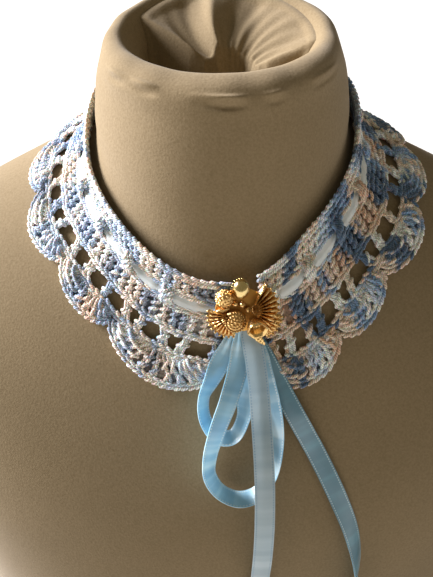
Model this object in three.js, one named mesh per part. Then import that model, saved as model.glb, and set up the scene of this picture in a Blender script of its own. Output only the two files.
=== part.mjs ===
// A crochet choker with a threaded satin ribbon and a gilt brooch, resting on a limbless dress form.
// Millimetres, +Z up. The origin is the middle of the form's flat base, and -Y is the front.
import * as THREE from "three";

// ---- driving dimensions ----
const ROOT_HEIGHT = 330; // from the base up to where the side of the neck meets the shoulder
const FORM_SEGMENTS = 48;
const COLUMNS_PER_SCALLOP = 8;
const ROW_GAP = 0.45; // between neighbouring rows of the collar
const BAND_DEPTH = 9;
const EYELET_END = 16;
const YOKE_END = 38;
const SCALLOP_VALLEY = 42.5;
const SCALLOP_TIP = 53.5;
const OPENING_RIGHT = 13.5; // degrees from the middle of the front, round towards +X
const OPENING_LEFT = 357.5;
const CLOSE_UP = 7; // degrees that the left end comes nearer at the neck edge
const NECK_STAND = 3.2; // how far the neck edge stands off the form
const EDGE_STAND = 0.8; // how far the scallops stand off the form
const HANG_FROM = 8; // below this depth the front corner droops and the left side is tucked up
const HANG_SPAN = 44; // over this many mm either grows to its full amount
const RIGHT_DROOP = { by: 8, from: 22, to: 52 }; // mm near the edge, fading out between two angles from the front
const LEFT_TUCK = { by: 4, from: 12, full: 60, fade: 100, to: 150 };
const BAND_RAISE = { by: 5, from: 14, full: 38, fade: 85, to: 120, over: 12 }; // the right of the neck band stands taller
const BAND_WALL = 2.4;
const EYELET_WALL = 1.2;
const YOKE_WALL = 2.2;
const RIBBON_WIDTH = 9;
const RIBBON_WALL = 1;
const THREADED_WIDTH = 6.2; // the ribbon is pleated lengthways where it is threaded
const KNOT = { angle: 6.5, across: 8, high: 7, deep: 4.2, lift: 3 };
const GATHERED_WIDTH = 0.45; // share of the ribbon's width where it leaves the knot
const BROOCH = { angle: 6.5, depth: 15, plateLift: 7.9, plateWall: 1.4, seat: 0.3 };

// Rings of the dress form from the hollow in the neck down to the base. Each ring names its half width and
// the places of its side, front and back; z is measured from the root of the neck at its side.
const RINGS = [
  { name: "floor", half: 30, sideY: 9, sideZ: 22, frontY: -23, frontZ: 15, backY: 40, backZ: 30 },
  { name: "well", half: 36.5, sideY: 8, sideZ: 30, frontY: -30, frontZ: 23, backY: 46, backZ: 40 },
  { name: "lip", half: 39, sideY: 8, sideZ: 42, frontY: -32, frontZ: 35, backY: 49, backZ: 54 },
  { name: "crest", half: 47, sideY: 7, sideZ: 51, frontY: -41, frontZ: 43, backY: 57, backZ: 64 },
  { name: "rim", half: 56.5, sideY: 5, sideZ: 40, frontY: -53, frontZ: 30, backY: 64, backZ: 54 },
  { name: "neck", half: 60, sideY: 4, sideZ: 22, frontY: -57.5, frontZ: 6, backY: 66, backZ: 36 },
  { name: "nape", half: 60.5, sideY: 3, sideZ: 10, frontY: -60, frontZ: -24, backY: 67, backZ: 20 },
  { name: "root", half: 66, sideY: 2, sideZ: -1, frontY: -66, frontZ: -48, backY: 73, backZ: 6 },
  { name: "yoke", half: 90, sideY: 0, sideZ: -12.5, frontY: -78, frontZ: -78, backY: 86, backZ: -14 },
  { name: "shoulder", half: 128, sideY: -2, sideZ: -28, frontY: -94, frontZ: -118, backY: 98, backZ: -52 },
  { name: "tip", half: 165, sideY: -3, sideZ: -48, frontY: -108, frontZ: -160, backY: 108, backZ: -96 },
  { name: "cap", half: 183, sideY: -3, sideZ: -80, frontY: -113, frontZ: -196, backY: 113, backZ: -146 },
  { name: "arm", half: 182, sideY: -2, sideZ: -135, frontY: -114, frontZ: -232, backY: 114, backZ: -200 },
  { name: "chest", half: 172, sideY: 0, sideZ: -210, frontY: -112, frontZ: -270, backY: 111, backZ: -250 },
  { name: "waist", half: 158, sideY: 0, sideZ: -300, frontY: -106, frontZ: -310, backY: 103, backZ: -306 },
  { name: "base", half: 150, sideY: 0, sideZ: -330, frontY: -103, frontZ: -330, backY: 100, backZ: -330 },
];
const RING_FIELDS = ["half", "sideY", "sideZ", "frontY", "frontZ", "backY", "backZ"];
const NECKLINE_RING = ringIndex("nape") + 0.3; // the collar's neck edge, a little below the nape ring
const NECKLINE_FRONT_DROP = 0.35;
const NECKLINE_BACK_RISE = 1.4;

// Where one scallop ends and the next begins, in degrees round the neck from the front towards +X.
const FRONT_VALLEYS = [34, 53, 76];
const BACK_SCALLOPS = 9;
const LEFT_VALLEYS = [284, 307, 328];

// ---- colours ----
const COLOURS = {
  jersey: { color: 0x8f7f63, roughness: 0.95, metalness: 0 },
  yarn: { color: 0xb9c3d6, roughness: 0.9, metalness: 0 },
  ribbon: { color: 0x9cc7e6, roughness: 0.35, metalness: 0 },
  gilt: { color: 0xc9962f, roughness: 0.25, metalness: 1 },
};

// ---- the dress form's surface ----
const radians = (degrees) => THREE.MathUtils.degToRad(degrees);

function ringIndex(name) {
  return RINGS.findIndex((ring) => ring.name === name);
}

// One field of the rings, smoothly between them, at a place counted in rings.
function ringValue(field, place) {
  const last = RINGS.length - 1;
  const i = Math.min(Math.max(Math.floor(place), 0), last - 1);
  const u = place - i;
  const b = RINGS[i][field];
  const c = RINGS[i + 1][field];
  const a = i > 0 ? RINGS[i - 1][field] : 2 * b - c;
  const d = i + 2 <= last ? RINGS[i + 2][field] : 2 * c - b;
  const slopes = (c - a) * u + (2 * a - 5 * b + 4 * c - d) * u ** 2 + (3 * b - a - 3 * c + d) * u ** 3;
  return b + slopes / 2;
}

// The point of the form at a place between rings and an angle from the front, in radians.
function formPoint(place, angle) {
  const ring = Object.fromEntries(RING_FIELDS.map((field) => [field, ringValue(field, place)]));
  const cos = Math.cos(angle);
  const around = (side, front, back) =>
    side - ((back - front) / 2) * cos + ((back + front) / 2 - side) * cos ** 2;
  return new THREE.Vector3(
    ring.half * Math.sin(angle),
    around(ring.sideY, ring.frontY, ring.backY),
    ROOT_HEIGHT + around(ring.sideZ, ring.frontZ, ring.backZ),
  );
}

function formNormal(place, angle) {
  const step = 1e-3;
  const down = formPoint(place + step, angle).sub(formPoint(place - step, angle));
  const round = formPoint(place, angle + step).sub(formPoint(place, angle - step));
  return down.cross(round).normalize();
}

// ---- the collar's own coordinates ----
const NECKLINE_SAMPLES = 240;
const LAST_COLLAR_PLACE = ringIndex("tip");

function necklinePlace(angle) {
  const front = Math.max(0, Math.cos(angle)) ** 4;
  const back = THREE.MathUtils.clamp((0.35 - Math.cos(angle)) / 0.9, 0, 1);
  return NECKLINE_RING + NECKLINE_FRONT_DROP * front - NECKLINE_BACK_RISE * back;
}

// The form's line straight down from the neck edge at one angle, with the length along it.
function fallLine(angle) {
  const start = necklinePlace(angle);
  const places = [];
  const lengths = [];
  let before = formPoint(start, angle);
  let length = 0;
  for (let i = 0; i <= NECKLINE_SAMPLES; i++) {
    const place = start + ((LAST_COLLAR_PLACE - start) * i) / NECKLINE_SAMPLES;
    const point = formPoint(place, angle);
    length += point.distanceTo(before);
    before = point;
    places.push(place);
    lengths.push(length);
  }
  return (depth) => {
    const i = Math.max(1, lengths.findIndex((value) => value >= depth));
    const share = (depth - lengths[i - 1]) / (lengths[i] - lengths[i - 1]);
    return places[i - 1] + share * (places[i] - places[i - 1]);
  };
}

// How far the inside of the collar stands off the form at a depth below the neck edge.
function standOff(depth) {
  return THREE.MathUtils.lerp(NECK_STAND, EDGE_STAND, THREE.MathUtils.smoothstep(depth, 0, 32));
}

// The angle in degrees at a share of the way round; the left end leans towards the right one at the neck.
function collarAngle(share, depth, from = OPENING_RIGHT, to = OPENING_LEFT) {
  const lean = CLOSE_UP * (1 - Math.min(depth, YOKE_END) / YOKE_END);
  return from + (to - from) * share + lean * Math.max(0, (share - 0.92) / 0.08);
}

// How much further down a point lies than its row: the front corners droop, and the left side is tucked up.
function hang(degrees, depth) {
  const { smoothstep } = THREE.MathUtils;
  const right = degrees < 180 ? RIGHT_DROOP.by * (1 - smoothstep(degrees, RIGHT_DROOP.from, RIGHT_DROOP.to)) : 0;
  const fromFront = 360 - degrees;
  const tucked = smoothstep(fromFront, LEFT_TUCK.from, LEFT_TUCK.full);
  const untucked = smoothstep(fromFront, LEFT_TUCK.fade, LEFT_TUCK.to);
  const left = degrees < 180 ? 0 : -LEFT_TUCK.by * tucked * (1 - untucked);
  const raised = smoothstep(degrees, BAND_RAISE.from, BAND_RAISE.full);
  const unraised = smoothstep(degrees, BAND_RAISE.fade, BAND_RAISE.to);
  const raise = BAND_RAISE.by * raised * (1 - unraised) * Math.max(0, 1 - depth / BAND_RAISE.over);
  return ((right + left) * Math.max(0, depth - HANG_FROM)) / HANG_SPAN - raise;
}

function collarPoint(degrees, depth, height) {
  const angle = radians(degrees);
  const place = fallLine(angle)(depth + hang(degrees, depth));
  return formPoint(place, angle).addScaledVector(formNormal(place, angle), height);
}

// ---- solids ----
function meshOf(name, geometry, look) {
  const mesh = new THREE.Mesh(geometry, new THREE.MeshStandardMaterial(COLOURS[look]));
  mesh.name = name;
  return mesh;
}

// A closed wall between an outer and an inner grid of points; rows run down and columns run round.
function wallGeometry(outer, inner) {
  const rows = outer.length;
  const columns = outer[0].length;
  const positions = [...outer.flat(), ...inner.flat()].flatMap((point) => point.toArray());
  const out = (row, column) => row * columns + column;
  const back = (row, column) => rows * columns + out(row, column);
  const index = [];
  const quad = (a, b, c, d) => index.push(a, b, c, a, c, d);
  for (let row = 0; row < rows - 1; row++) {
    for (let column = 0; column < columns - 1; column++) {
      quad(out(row, column), out(row + 1, column), out(row + 1, column + 1), out(row, column + 1));
      quad(back(row, column), back(row, column + 1), back(row + 1, column + 1), back(row + 1, column));
    }
    quad(out(row, 0), back(row, 0), back(row + 1, 0), out(row + 1, 0));
    const end = columns - 1;
    quad(out(row, end), out(row + 1, end), back(row + 1, end), back(row, end));
  }
  for (let column = 0; column < columns - 1; column++) {
    quad(out(0, column), out(0, column + 1), back(0, column + 1), back(0, column));
    const foot = rows - 1;
    quad(out(foot, column), back(foot, column), back(foot, column + 1), out(foot, column + 1));
  }
  return bufferOf(positions, index);
}

function bufferOf(positions, index) {
  const geometry = new THREE.BufferGeometry();
  geometry.setAttribute("position", new THREE.Float32BufferAttribute(positions, 3));
  geometry.setIndex(index);
  geometry.computeVertexNormals();
  return geometry;
}

// A closed body through rings of equal count, with a fan at each end.
function ringGeometry(rings, firstCentre, lastCentre) {
  const count = rings[0].length;
  const positions = [firstCentre, ...rings.flat(), lastCentre].flatMap((point) => point.toArray());
  const at = (ring, i) => 1 + ring * count + (i % count);
  const end = 1 + rings.length * count;
  const index = [];
  for (let i = 0; i < count; i++) {
    index.push(0, at(0, i), at(0, i + 1));
    for (let ring = 0; ring < rings.length - 1; ring++) {
      index.push(at(ring, i), at(ring + 1, i), at(ring + 1, i + 1));
      index.push(at(ring, i), at(ring + 1, i + 1), at(ring, i + 1));
    }
    index.push(end, at(rings.length - 1, i + 1), at(rings.length - 1, i));
  }
  return bufferOf(positions, index);
}

// ---- dress form ----
function formRing(place) {
  return Array.from({ length: FORM_SEGMENTS }, (_, i) => formPoint(place, (2 * Math.PI * i) / FORM_SEGMENTS));
}

function formBody() {
  const rings = [];
  const collarFrom = ringIndex("neck");
  const collarTo = ringIndex("shoulder");
  for (let i = 0; i < RINGS.length - 1; i++) {
    const steps = i >= collarFrom && i < collarTo ? 4 : 2;
    for (let step = 0; step < steps; step++) rings.push(formRing(i + step / steps));
  }
  rings.push(formRing(RINGS.length - 1));
  const floor = RINGS[0];
  const base = RINGS[RINGS.length - 1];
  const middle = (ring, z) => new THREE.Vector3(0, (ring.frontY + ring.backY) / 2, ROOT_HEIGHT + z);
  const geometry = ringGeometry(rings, middle(floor, floor.sideZ), middle(base, base.sideZ));
  return meshOf("form_body", geometry, "jersey");
}

// The tucked end of the jersey lines the hollow and fills it, low at the front and bunched up at the back.
const GATHER = {
  segments: 32,
  clearance: 1,
  frontPlace: 0.8,
  backPlace: 2.2,
  crown: 9,
  folds: 7,
  foldHeight: 1.6,
};

function formGather() {
  const floor = RINGS[0];
  const floorMiddle = new THREE.Vector3(0, (floor.frontY + floor.backY) / 2, ROOT_HEIGHT + floor.sideZ);
  const topMiddle = floorMiddle.clone().setZ(floorMiddle.z + GATHER.crown);
  const ringOf = (pointAt) =>
    Array.from({ length: GATHER.segments }, (_, i) => pointAt((2 * Math.PI * i) / GATHER.segments));
  const wall = (level) => (angle) => {
    const top = THREE.MathUtils.lerp(GATHER.frontPlace, GATHER.backPlace, (1 - Math.cos(angle)) / 2);
    const at = THREE.MathUtils.lerp(0.2, top, level);
    return formPoint(at, angle).addScaledVector(formNormal(at, angle), GATHER.clearance);
  };
  const crown = (share) => (angle) => {
    const fold = GATHER.foldHeight * Math.cos(GATHER.folds * angle) * share;
    const dome = GATHER.crown * share * (1 - share);
    const point = wall(1)(angle).lerp(topMiddle, 1 - share);
    return point.setZ(point.z + dome + fold);
  };
  const rings = [...[0.3, 0.6, 0.85].map(crown), ...[1, 0.5, 0].map(wall)].map(ringOf);
  const lowMiddle = floorMiddle.clone().setZ(floorMiddle.z + GATHER.clearance + 1);
  return meshOf("form_gather", ringGeometry(rings, topMiddle, lowMiddle), "jersey");
}

// ---- collar ----
function valleys() {
  const first = FRONT_VALLEYS[FRONT_VALLEYS.length - 1];
  const step = (LEFT_VALLEYS[0] - first) / BACK_SCALLOPS;
  const back = Array.from({ length: BACK_SCALLOPS - 1 }, (_, i) => first + step * (i + 1));
  return [OPENING_RIGHT, ...FRONT_VALLEYS, ...back, ...LEFT_VALLEYS, OPENING_LEFT];
}

// The columns of the collar: the angle, and where it lies across its scallop from -1 to 1.
function columns() {
  const ends = valleys();
  const list = [];
  for (let i = 0; i < ends.length - 1; i++) {
    for (let step = 0; step < COLUMNS_PER_SCALLOP; step++) {
      const share = step / COLUMNS_PER_SCALLOP;
      list.push({ degrees: ends[i] + (ends[i + 1] - ends[i]) * share, across: 2 * share - 1 });
    }
  }
  return [...list, { degrees: OPENING_LEFT, across: 1 }];
}

// One band of the collar between two depths; outerDepth may depend on the column.
function collarBand(name, innerDepth, outerDepth, rows, wall) {
  const grid = (height) =>
    Array.from({ length: rows + 1 }, (_, row) =>
      columns().map((column) => {
        const depth = innerDepth + ((outerDepth(column) - innerDepth) * row) / rows;
        const share = (column.degrees - OPENING_RIGHT) / (OPENING_LEFT - OPENING_RIGHT);
        return collarPoint(collarAngle(share, depth), depth, standOff(depth) + height);
      }),
    );
  return meshOf(name, wallGeometry(grid(wall), grid(0)), "yarn");
}

function scallopDepth({ across }) {
  return SCALLOP_VALLEY + (SCALLOP_TIP - SCALLOP_VALLEY) * Math.sqrt(1 - 0.98 * across ** 2);
}

function collar() {
  const group = new THREE.Group();
  group.add(
    collarBand("collar_neckband", 0, () => BAND_DEPTH, 1, BAND_WALL),
    collarBand("collar_eyelet_row", BAND_DEPTH + ROW_GAP, () => EYELET_END, 1, EYELET_WALL),
    collarBand("collar_yoke", EYELET_END + ROW_GAP, () => YOKE_END, 3, YOKE_WALL),
    collarBand("collar_scallops", YOKE_END + ROW_GAP, scallopDepth, 2, YOKE_WALL),
  );
  return group;
}

// ---- ribbon ----
const RIBBON_MIDDLE = (BAND_DEPTH + EYELET_END + ROW_GAP) / 2;

function threadedRibbon() {
  const steps = 110;
  const knotHalf = 3.6; // degrees
  const from = KNOT.angle + knotHalf;
  const to = 360 + KNOT.angle - knotHalf;
  const grid = (height) =>
    [-0.5, 0.5].map((side) => {
      const depth = RIBBON_MIDDLE + side * THREADED_WIDTH;
      const lift = standOff(depth) + EYELET_WALL + ROW_GAP + height;
      return Array.from({ length: steps + 1 }, (_, i) =>
        collarPoint(from + ((to - from) * i) / steps, depth, lift),
      );
    });
  return meshOf("ribbon_threaded", wallGeometry(grid(RIBBON_WALL), grid(0)), "ribbon");
}

function ribbonKnot() {
  const geometry = new THREE.SphereGeometry(0.5, 14, 10);
  geometry.scale(KNOT.across, KNOT.high, KNOT.deep);
  const knot = meshOf("ribbon_knot", geometry, "ribbon");
  settle(knot, { angle: KNOT.angle, depth: RIBBON_MIDDLE, lift: KNOT.lift });
  return knot;
}

// Stands a mesh on the form: its X runs across to +X, its Y up the chest and its Z out from it.
function settle(mesh, { angle, depth, across = 0, up = 0, lift, turn = 0 }) {
  const at = fallLine(radians(angle))(depth);
  const out = formNormal(at, radians(angle));
  const side = new THREE.Vector3(0, 0, 1).cross(out).normalize();
  const rise = new THREE.Vector3().crossVectors(out, side);
  mesh.quaternion.setFromRotationMatrix(new THREE.Matrix4().makeBasis(side, rise, out));
  mesh.rotateZ(radians(turn));
  mesh.position.copy(formPoint(at, radians(angle)));
  mesh.position.addScaledVector(side, across).addScaledVector(rise, up).addScaledVector(out, lift);
}

// The form's point on the front at a distance across and a height from the root of the neck.
function chestPlace(x, z) {
  let low = ringIndex("neck");
  let high = RINGS.length - 1;
  const angleAt = (at) => Math.asin(THREE.MathUtils.clamp(x / ringValue("half", at), -0.99, 0.99));
  for (let i = 0; i < 40; i++) {
    const middle = (low + high) / 2;
    if (formPoint(middle, angleAt(middle)).z > ROOT_HEIGHT + z) low = middle;
    else high = middle;
  }
  return { at: low, angle: angleAt(low) };
}

// Routes of the free runs: x and z place a point on the chest, lift is how far it stands off the form,
// and turn is how far the ribbon is turned from lying flat, in degrees. A run is narrow where it leaves the
// knot, and as wide as the ribbon after the gathered length.
const ROUTES = {
  ribbon_small_loop: {
    gathered: 22,
    isLoop: true,
    stops: [
      { x: 5, z: -54.5, lift: 2.9, turn: 0 },
      { x: 4.3, z: -61.5, lift: 3.6, turn: 0 },
      { x: 2, z: -67.5, lift: 4.7, turn: 0 },
      { x: -1.4, z: -73.5, lift: 5.6, turn: 4 },
      { x: -5, z: -81, lift: 6.6, turn: 36 },
      { x: -8.6, z: -89, lift: 6.4, turn: 58 },
      { x: -8, z: -98, lift: 6.4, turn: 62 },
      { x: -2.5, z: -105.5, lift: 6, turn: 62 },
      { x: 4, z: -105.5, lift: 6, turn: 62 },
      { x: 8.4, z: -98, lift: 5.8, turn: 56 },
      { x: 9.4, z: -88, lift: 4.4, turn: 30 },
      { x: 8.4, z: -77, lift: 3, turn: 8 },
      { x: 7.4, z: -66, lift: 1.6, turn: 0 },
      { x: 7.2, z: -54.5, lift: 1.6, turn: 0 },
    ],
  },
  ribbon_right_tail: {
    gathered: 22,
    isLoop: false,
    stops: [
      { x: 11.6, z: -54.5, lift: 1.6, turn: 0 },
      { x: 13.2, z: -60.5, lift: 1.6, turn: 0 },
      { x: 15.4, z: -66.5, lift: 4.2, turn: 0 },
      { x: 18.6, z: -73, lift: 4.7, turn: 0 },
      { x: 24, z: -83, lift: 4.2, turn: 0 },
      { x: 32.5, z: -98, lift: 4, turn: 0 },
      { x: 37.6, z: -107, lift: 2.6, turn: 0 },
      { x: 42.6, z: -116, lift: 1.8, turn: 0 },
      { x: 52.5, z: -136, lift: 1.8, turn: 0 },
      { x: 60.5, z: -157, lift: 1.8, turn: 0 },
      { x: 64, z: -178, lift: 1.8, turn: 0 },
      { x: 64.5, z: -198, lift: 1.8, turn: 0 },
    ],
  },
  ribbon_large_loop: {
    gathered: 22,
    isLoop: true,
    stops: [
      { x: 7.4, z: -54.5, lift: 5.5, turn: 0 },
      { x: 7.2, z: -65, lift: 5.6, turn: 0 },
      { x: 6.4, z: -75, lift: 7, turn: 6 },
      { x: 2.6, z: -87, lift: 12, turn: 18 },
      { x: -2.4, z: -99, lift: 16, turn: 32 },
      { x: -5.8, z: -111, lift: 15, turn: 46 },
      { x: -6, z: -122.5, lift: 10, turn: 58 },
      { x: -1, z: -131, lift: 6.8, turn: 64 },
      { x: 7, z: -134.5, lift: 6, turn: 64 },
      { x: 15, z: -132, lift: 6, turn: 64 },
      { x: 21, z: -123.5, lift: 6, turn: 62 },
      { x: 23.4, z: -112.5, lift: 6.4, turn: 58 },
      { x: 23, z: -101, lift: 7, turn: 44 },
      { x: 20.5, z: -90, lift: 7.2, turn: 22 },
      { x: 17.5, z: -79, lift: 6.6, turn: 6 },
      { x: 14.4, z: -66, lift: 5.6, turn: 0 },
      { x: 11.4, z: -54.5, lift: 4.2, turn: 0 },
    ],
  },
  ribbon_centre_tail: {
    gathered: 8,
    isLoop: false,
    stops: [
      { x: 10, z: -54.5, lift: 6.8, turn: 0 },
      { x: 12.4, z: -65, lift: 7.1, turn: 0 },
      { x: 14.4, z: -78, lift: 11.5, turn: 0 },
      { x: 16, z: -98, lift: 18, turn: 0 },
      { x: 17.2, z: -119, lift: 20, turn: 0 },
      { x: 17.6, z: -140, lift: 18, turn: 0 },
      { x: 17.2, z: -160, lift: 12, turn: 0 },
      { x: 16.6, z: -180, lift: 5, turn: 0 },
      { x: 16.4, z: -200, lift: 2, turn: 0 },
    ],
  },
};
const RIBBON_STEP = 3; // mm between cross-sections

function freeRibbon(name) {
  const { gathered, isLoop, stops } = ROUTES[name];
  const route = stops.map((stop) => ({ ...stop, ...chestPlace(stop.x, stop.z) }));
  const points = route.map(({ at, angle, lift }) =>
    formPoint(at, angle).addScaledVector(formNormal(at, angle), lift),
  );
  const curve = new THREE.CatmullRomCurve3(points, false, "centripetal");
  const steps = Math.round(curve.getLength() / RIBBON_STEP);
  const edges = { left: [], right: [] };
  const backs = { left: [], right: [] };
  for (let i = 0; i <= steps; i++) {
    const u = curve.getUtoTmapping(i / steps);
    const along = u * (route.length - 1);
    const stop = Math.min(Math.floor(along), route.length - 2);
    const share = along - stop;
    const normalOf = ({ at, angle }) => formNormal(at, angle);
    const out = normalOf(route[stop]).lerp(normalOf(route[stop + 1]), share).normalize();
    const tangent = curve.getTangent(u);
    const side = new THREE.Vector3().crossVectors(tangent, out).normalize();
    const turn = radians(THREE.MathUtils.lerp(route[stop].turn, route[stop + 1].turn, share));
    const width = side.multiplyScalar(Math.cos(turn)).addScaledVector(out, Math.sin(turn));
    const face = new THREE.Vector3().crossVectors(width, tangent).normalize();
    const middle = curve.getPoint(u);
    const fromKnot = isLoop ? Math.min(i, steps - i) : i;
    const spread = THREE.MathUtils.smoothstep(fromKnot * RIBBON_STEP, 0, gathered);
    const wide = RIBBON_WIDTH * THREE.MathUtils.lerp(GATHERED_WIDTH, 1, spread);
    const corner = (across, through) =>
      middle.clone().addScaledVector(width, across * wide).addScaledVector(face, through * RIBBON_WALL);
    edges.left.push(corner(-0.5, 0.5));
    edges.right.push(corner(0.5, 0.5));
    backs.left.push(corner(-0.5, -0.5));
    backs.right.push(corner(0.5, -0.5));
  }
  return meshOf(name, wallGeometry([edges.left, edges.right], [backs.left, backs.right]), "ribbon");
}

// ---- brooch ----
const FIGURE_LIFT = BROOCH.plateLift + BROOCH.plateWall + BROOCH.seat; // the backs of the figures

function figure(name, geometry, spot) {
  const mesh = meshOf("brooch_" + name, geometry, "gilt");
  settle(mesh, { angle: BROOCH.angle, depth: BROOCH.depth, lift: FIGURE_LIFT, ...spot });
  return mesh;
}

function plate() {
  const outline = new THREE.Shape().absellipse(0, 0, 13, 11, 0, 2 * Math.PI);
  const geometry = new THREE.ExtrudeGeometry(outline, {
    depth: BROOCH.plateWall,
    bevelEnabled: false,
    curveSegments: 16,
  });
  return figure("plate", geometry, { lift: BROOCH.plateLift });
}

function pin() {
  const pinRadius = 0.7;
  const geometry = new THREE.CylinderGeometry(pinRadius, pinRadius, 24, 8).rotateZ(Math.PI / 2);
  return figure("pin", geometry, { up: 5.5, lift: BROOCH.plateLift - BROOCH.seat - pinRadius });
}

function bead(name, { across, up, turn, wide, high = wide, deep = wide }) {
  const geometry = new THREE.SphereGeometry(0.5, 12, 8).scale(wide, high, deep);
  return figure(name, geometry.translate(0, 0, deep / 2), { across, up, turn });
}

// A ribbed shell that fans out along +X from its hinge.
function shell(name, { across, up, turn, radius, spread, ribs, deep }) {
  const rows = 4;
  const steps = ribs * 4;
  const grid = (heightAt) =>
    Array.from({ length: rows + 1 }, (_, row) =>
      Array.from({ length: steps + 1 }, (_, i) => {
        const reach = THREE.MathUtils.lerp(0.12, 1, row / rows);
        const angle = radians(spread) * (i / steps - 0.5);
        const rib = 0.5 - 0.5 * Math.cos((2 * Math.PI * ribs * i) / steps);
        const out = radius * reach * (1 - 0.05 * (1 - rib) * reach);
        return new THREE.Vector3(out * Math.cos(angle), out * Math.sin(angle), heightAt(reach, rib));
      }),
    );
  const crown = (reach, rib) => deep * (1 - 0.7 * reach ** 2) * (0.72 + 0.28 * rib) + 0.5;
  return figure(name, wallGeometry(grid(crown), grid(() => 0)), { across, up, turn });
}

function latheFigure(name, profile, { across, up }) {
  const points = profile.map(({ radius, height }) => new THREE.Vector2(radius, height));
  const geometry = new THREE.LatheGeometry(points, 18).rotateX(Math.PI / 2);
  return figure(name, geometry, { across, up });
}

function leaf({ across, up, turn, length, wide, deep }) {
  const sections = 8;
  const corners = 8;
  const rings = Array.from({ length: sections - 1 }, (_, i) => {
    const share = (i + 1) / sections;
    const fullness = Math.sin(Math.PI * share ** 0.8);
    return Array.from({ length: corners }, (_, j) => {
      const angle = (-2 * Math.PI * j) / corners;
      const y = (wide / 2) * fullness * Math.cos(angle);
      const z = (deep / 2) * (1 + fullness * Math.sin(angle));
      return new THREE.Vector3(length * (share - 0.5), y, z);
    });
  });
  const tip = (side) => new THREE.Vector3((side * length) / 2, 0, deep / 2);
  return figure("leaf", ringGeometry(rings, tip(-1), tip(1)), { across, up, turn });
}

const BEADS = [
  { across: 0.2, up: 2.6 },
  { across: -2.9, up: 3.2 },
  { across: 2.5, up: 0.4 },
];
const DISC_PROFILE = [
  { radius: 0, height: 0 },
  { radius: 4.9, height: 0 },
  { radius: 4.9, height: 1.4 },
  { radius: 3.6, height: 2.6 },
  { radius: 0, height: 3 },
];
const BELL_PROFILE = [
  { radius: 0, height: 0 },
  { radius: 2.2, height: 0 },
  { radius: 3.1, height: 1.6 },
  { radius: 3.4, height: 4.6 },
  { radius: 2.5, height: 4.6 },
  { radius: 1.6, height: 2.4 },
  { radius: 0, height: 2 },
];

function brooch() {
  const group = new THREE.Group();
  group.add(
    plate(),
    pin(),
    bead("pearl", { across: -1, up: 9.6, wide: 7.6, deep: 7 }),
    bead("berry", { across: -8.4, up: 6.2, wide: 8, deep: 7.4 }),
    bead("stem", { across: -8.9, up: 1, turn: 8, wide: 7, high: 2.8, deep: 2.6 }),
    shell("shell_left", { across: -9.2, up: -4, turn: 200, radius: 6.6, spread: 100, ribs: 7, deep: 3.6 }),
    shell("shell_right", { across: 4.5, up: -1, turn: 40, radius: 11, spread: 110, ribs: 9, deep: 5.4 }),
    shell("shell_low", { across: 9.6, up: -5.2, turn: -48, radius: 7, spread: 54, ribs: 5, deep: 3 }),
    latheFigure("seed_disc", DISC_PROFILE, { across: -3.6, up: -4.4 }),
    latheFigure("bell", BELL_PROFILE, { across: 5, up: -6.2 }),
    leaf({ across: 7.2, up: -13.4, turn: -50, length: 9, wide: 3.4, deep: 2.4 }),
  );
  BEADS.forEach((spot, i) => group.add(bead("bead_" + (i + 1), { ...spot, wide: 2.6 })));
  return group;
}

const choker = new THREE.Group();
choker.add(formBody(), formGather(), collar(), threadedRibbon(), ribbonKnot(), brooch());
for (const name of Object.keys(ROUTES)) choker.add(freeRibbon(name));

export default choker;
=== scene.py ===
# %% [markdown]
# # A crochet choker on a dress form
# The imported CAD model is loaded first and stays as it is: it says where everything goes. Each soft or plain
# CAD solid is then replaced by a piece that is made as the real one is, of yarn, ribbon, jersey or gilt
# metal.

# %% Load the frame
import functools
import math

import bpy
import numpy as np
from mathutils import Matrix, Vector


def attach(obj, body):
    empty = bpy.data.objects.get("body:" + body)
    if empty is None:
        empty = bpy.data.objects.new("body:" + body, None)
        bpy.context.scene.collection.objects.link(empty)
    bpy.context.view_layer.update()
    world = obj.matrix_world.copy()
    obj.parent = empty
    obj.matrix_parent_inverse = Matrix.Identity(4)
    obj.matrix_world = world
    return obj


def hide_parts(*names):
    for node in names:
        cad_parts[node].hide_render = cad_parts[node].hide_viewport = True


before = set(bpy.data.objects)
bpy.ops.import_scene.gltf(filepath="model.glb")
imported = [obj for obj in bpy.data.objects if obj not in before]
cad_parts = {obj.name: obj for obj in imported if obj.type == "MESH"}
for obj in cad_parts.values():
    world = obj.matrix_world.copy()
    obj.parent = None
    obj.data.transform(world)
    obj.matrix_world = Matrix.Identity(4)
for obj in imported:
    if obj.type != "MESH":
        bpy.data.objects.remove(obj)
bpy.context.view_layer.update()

# %% [markdown]
# ## Working in millimetres
# A maker thinks in millimetres, and Blender's unit here is the metre. The shapes below are worked out in
# millimetres as rows of numbers, and one function turns them into metres as it fills a mesh. Each seeded
# source of small differences belongs to one kind of piece, so the result is the same on every run.

# %% Units and mesh helpers
MM = 0.001
BODY = "root"


def deselect():
    if bpy.context.object and bpy.context.object.mode != "OBJECT":
        bpy.ops.object.mode_set(mode="OBJECT")
    bpy.ops.object.select_all(action="DESELECT")


def make_active(piece):
    deselect()
    piece.select_set(True)
    bpy.context.view_layer.objects.active = piece


def edit_all(piece, operator, **settings):
    """Runs one mesh operator on the whole of a piece, in edit mode."""
    make_active(piece)
    bpy.ops.object.mode_set(mode="EDIT")
    bpy.ops.mesh.select_all(action="SELECT")
    operator(**settings)
    bpy.ops.object.mode_set(mode="OBJECT")


def outward(piece):
    edit_all(piece, bpy.ops.mesh.normals_make_consistent, inside=False)


def close_ends(piece):
    """Fills the open ends of a tube and turns its faces outwards."""
    make_active(piece)
    bpy.ops.object.mode_set(mode="EDIT")
    bpy.ops.mesh.select_all(action="DESELECT")
    bpy.ops.mesh.select_non_manifold()
    bpy.ops.mesh.edge_face_add()
    bpy.ops.object.mode_set(mode="OBJECT")
    outward(piece)


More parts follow.
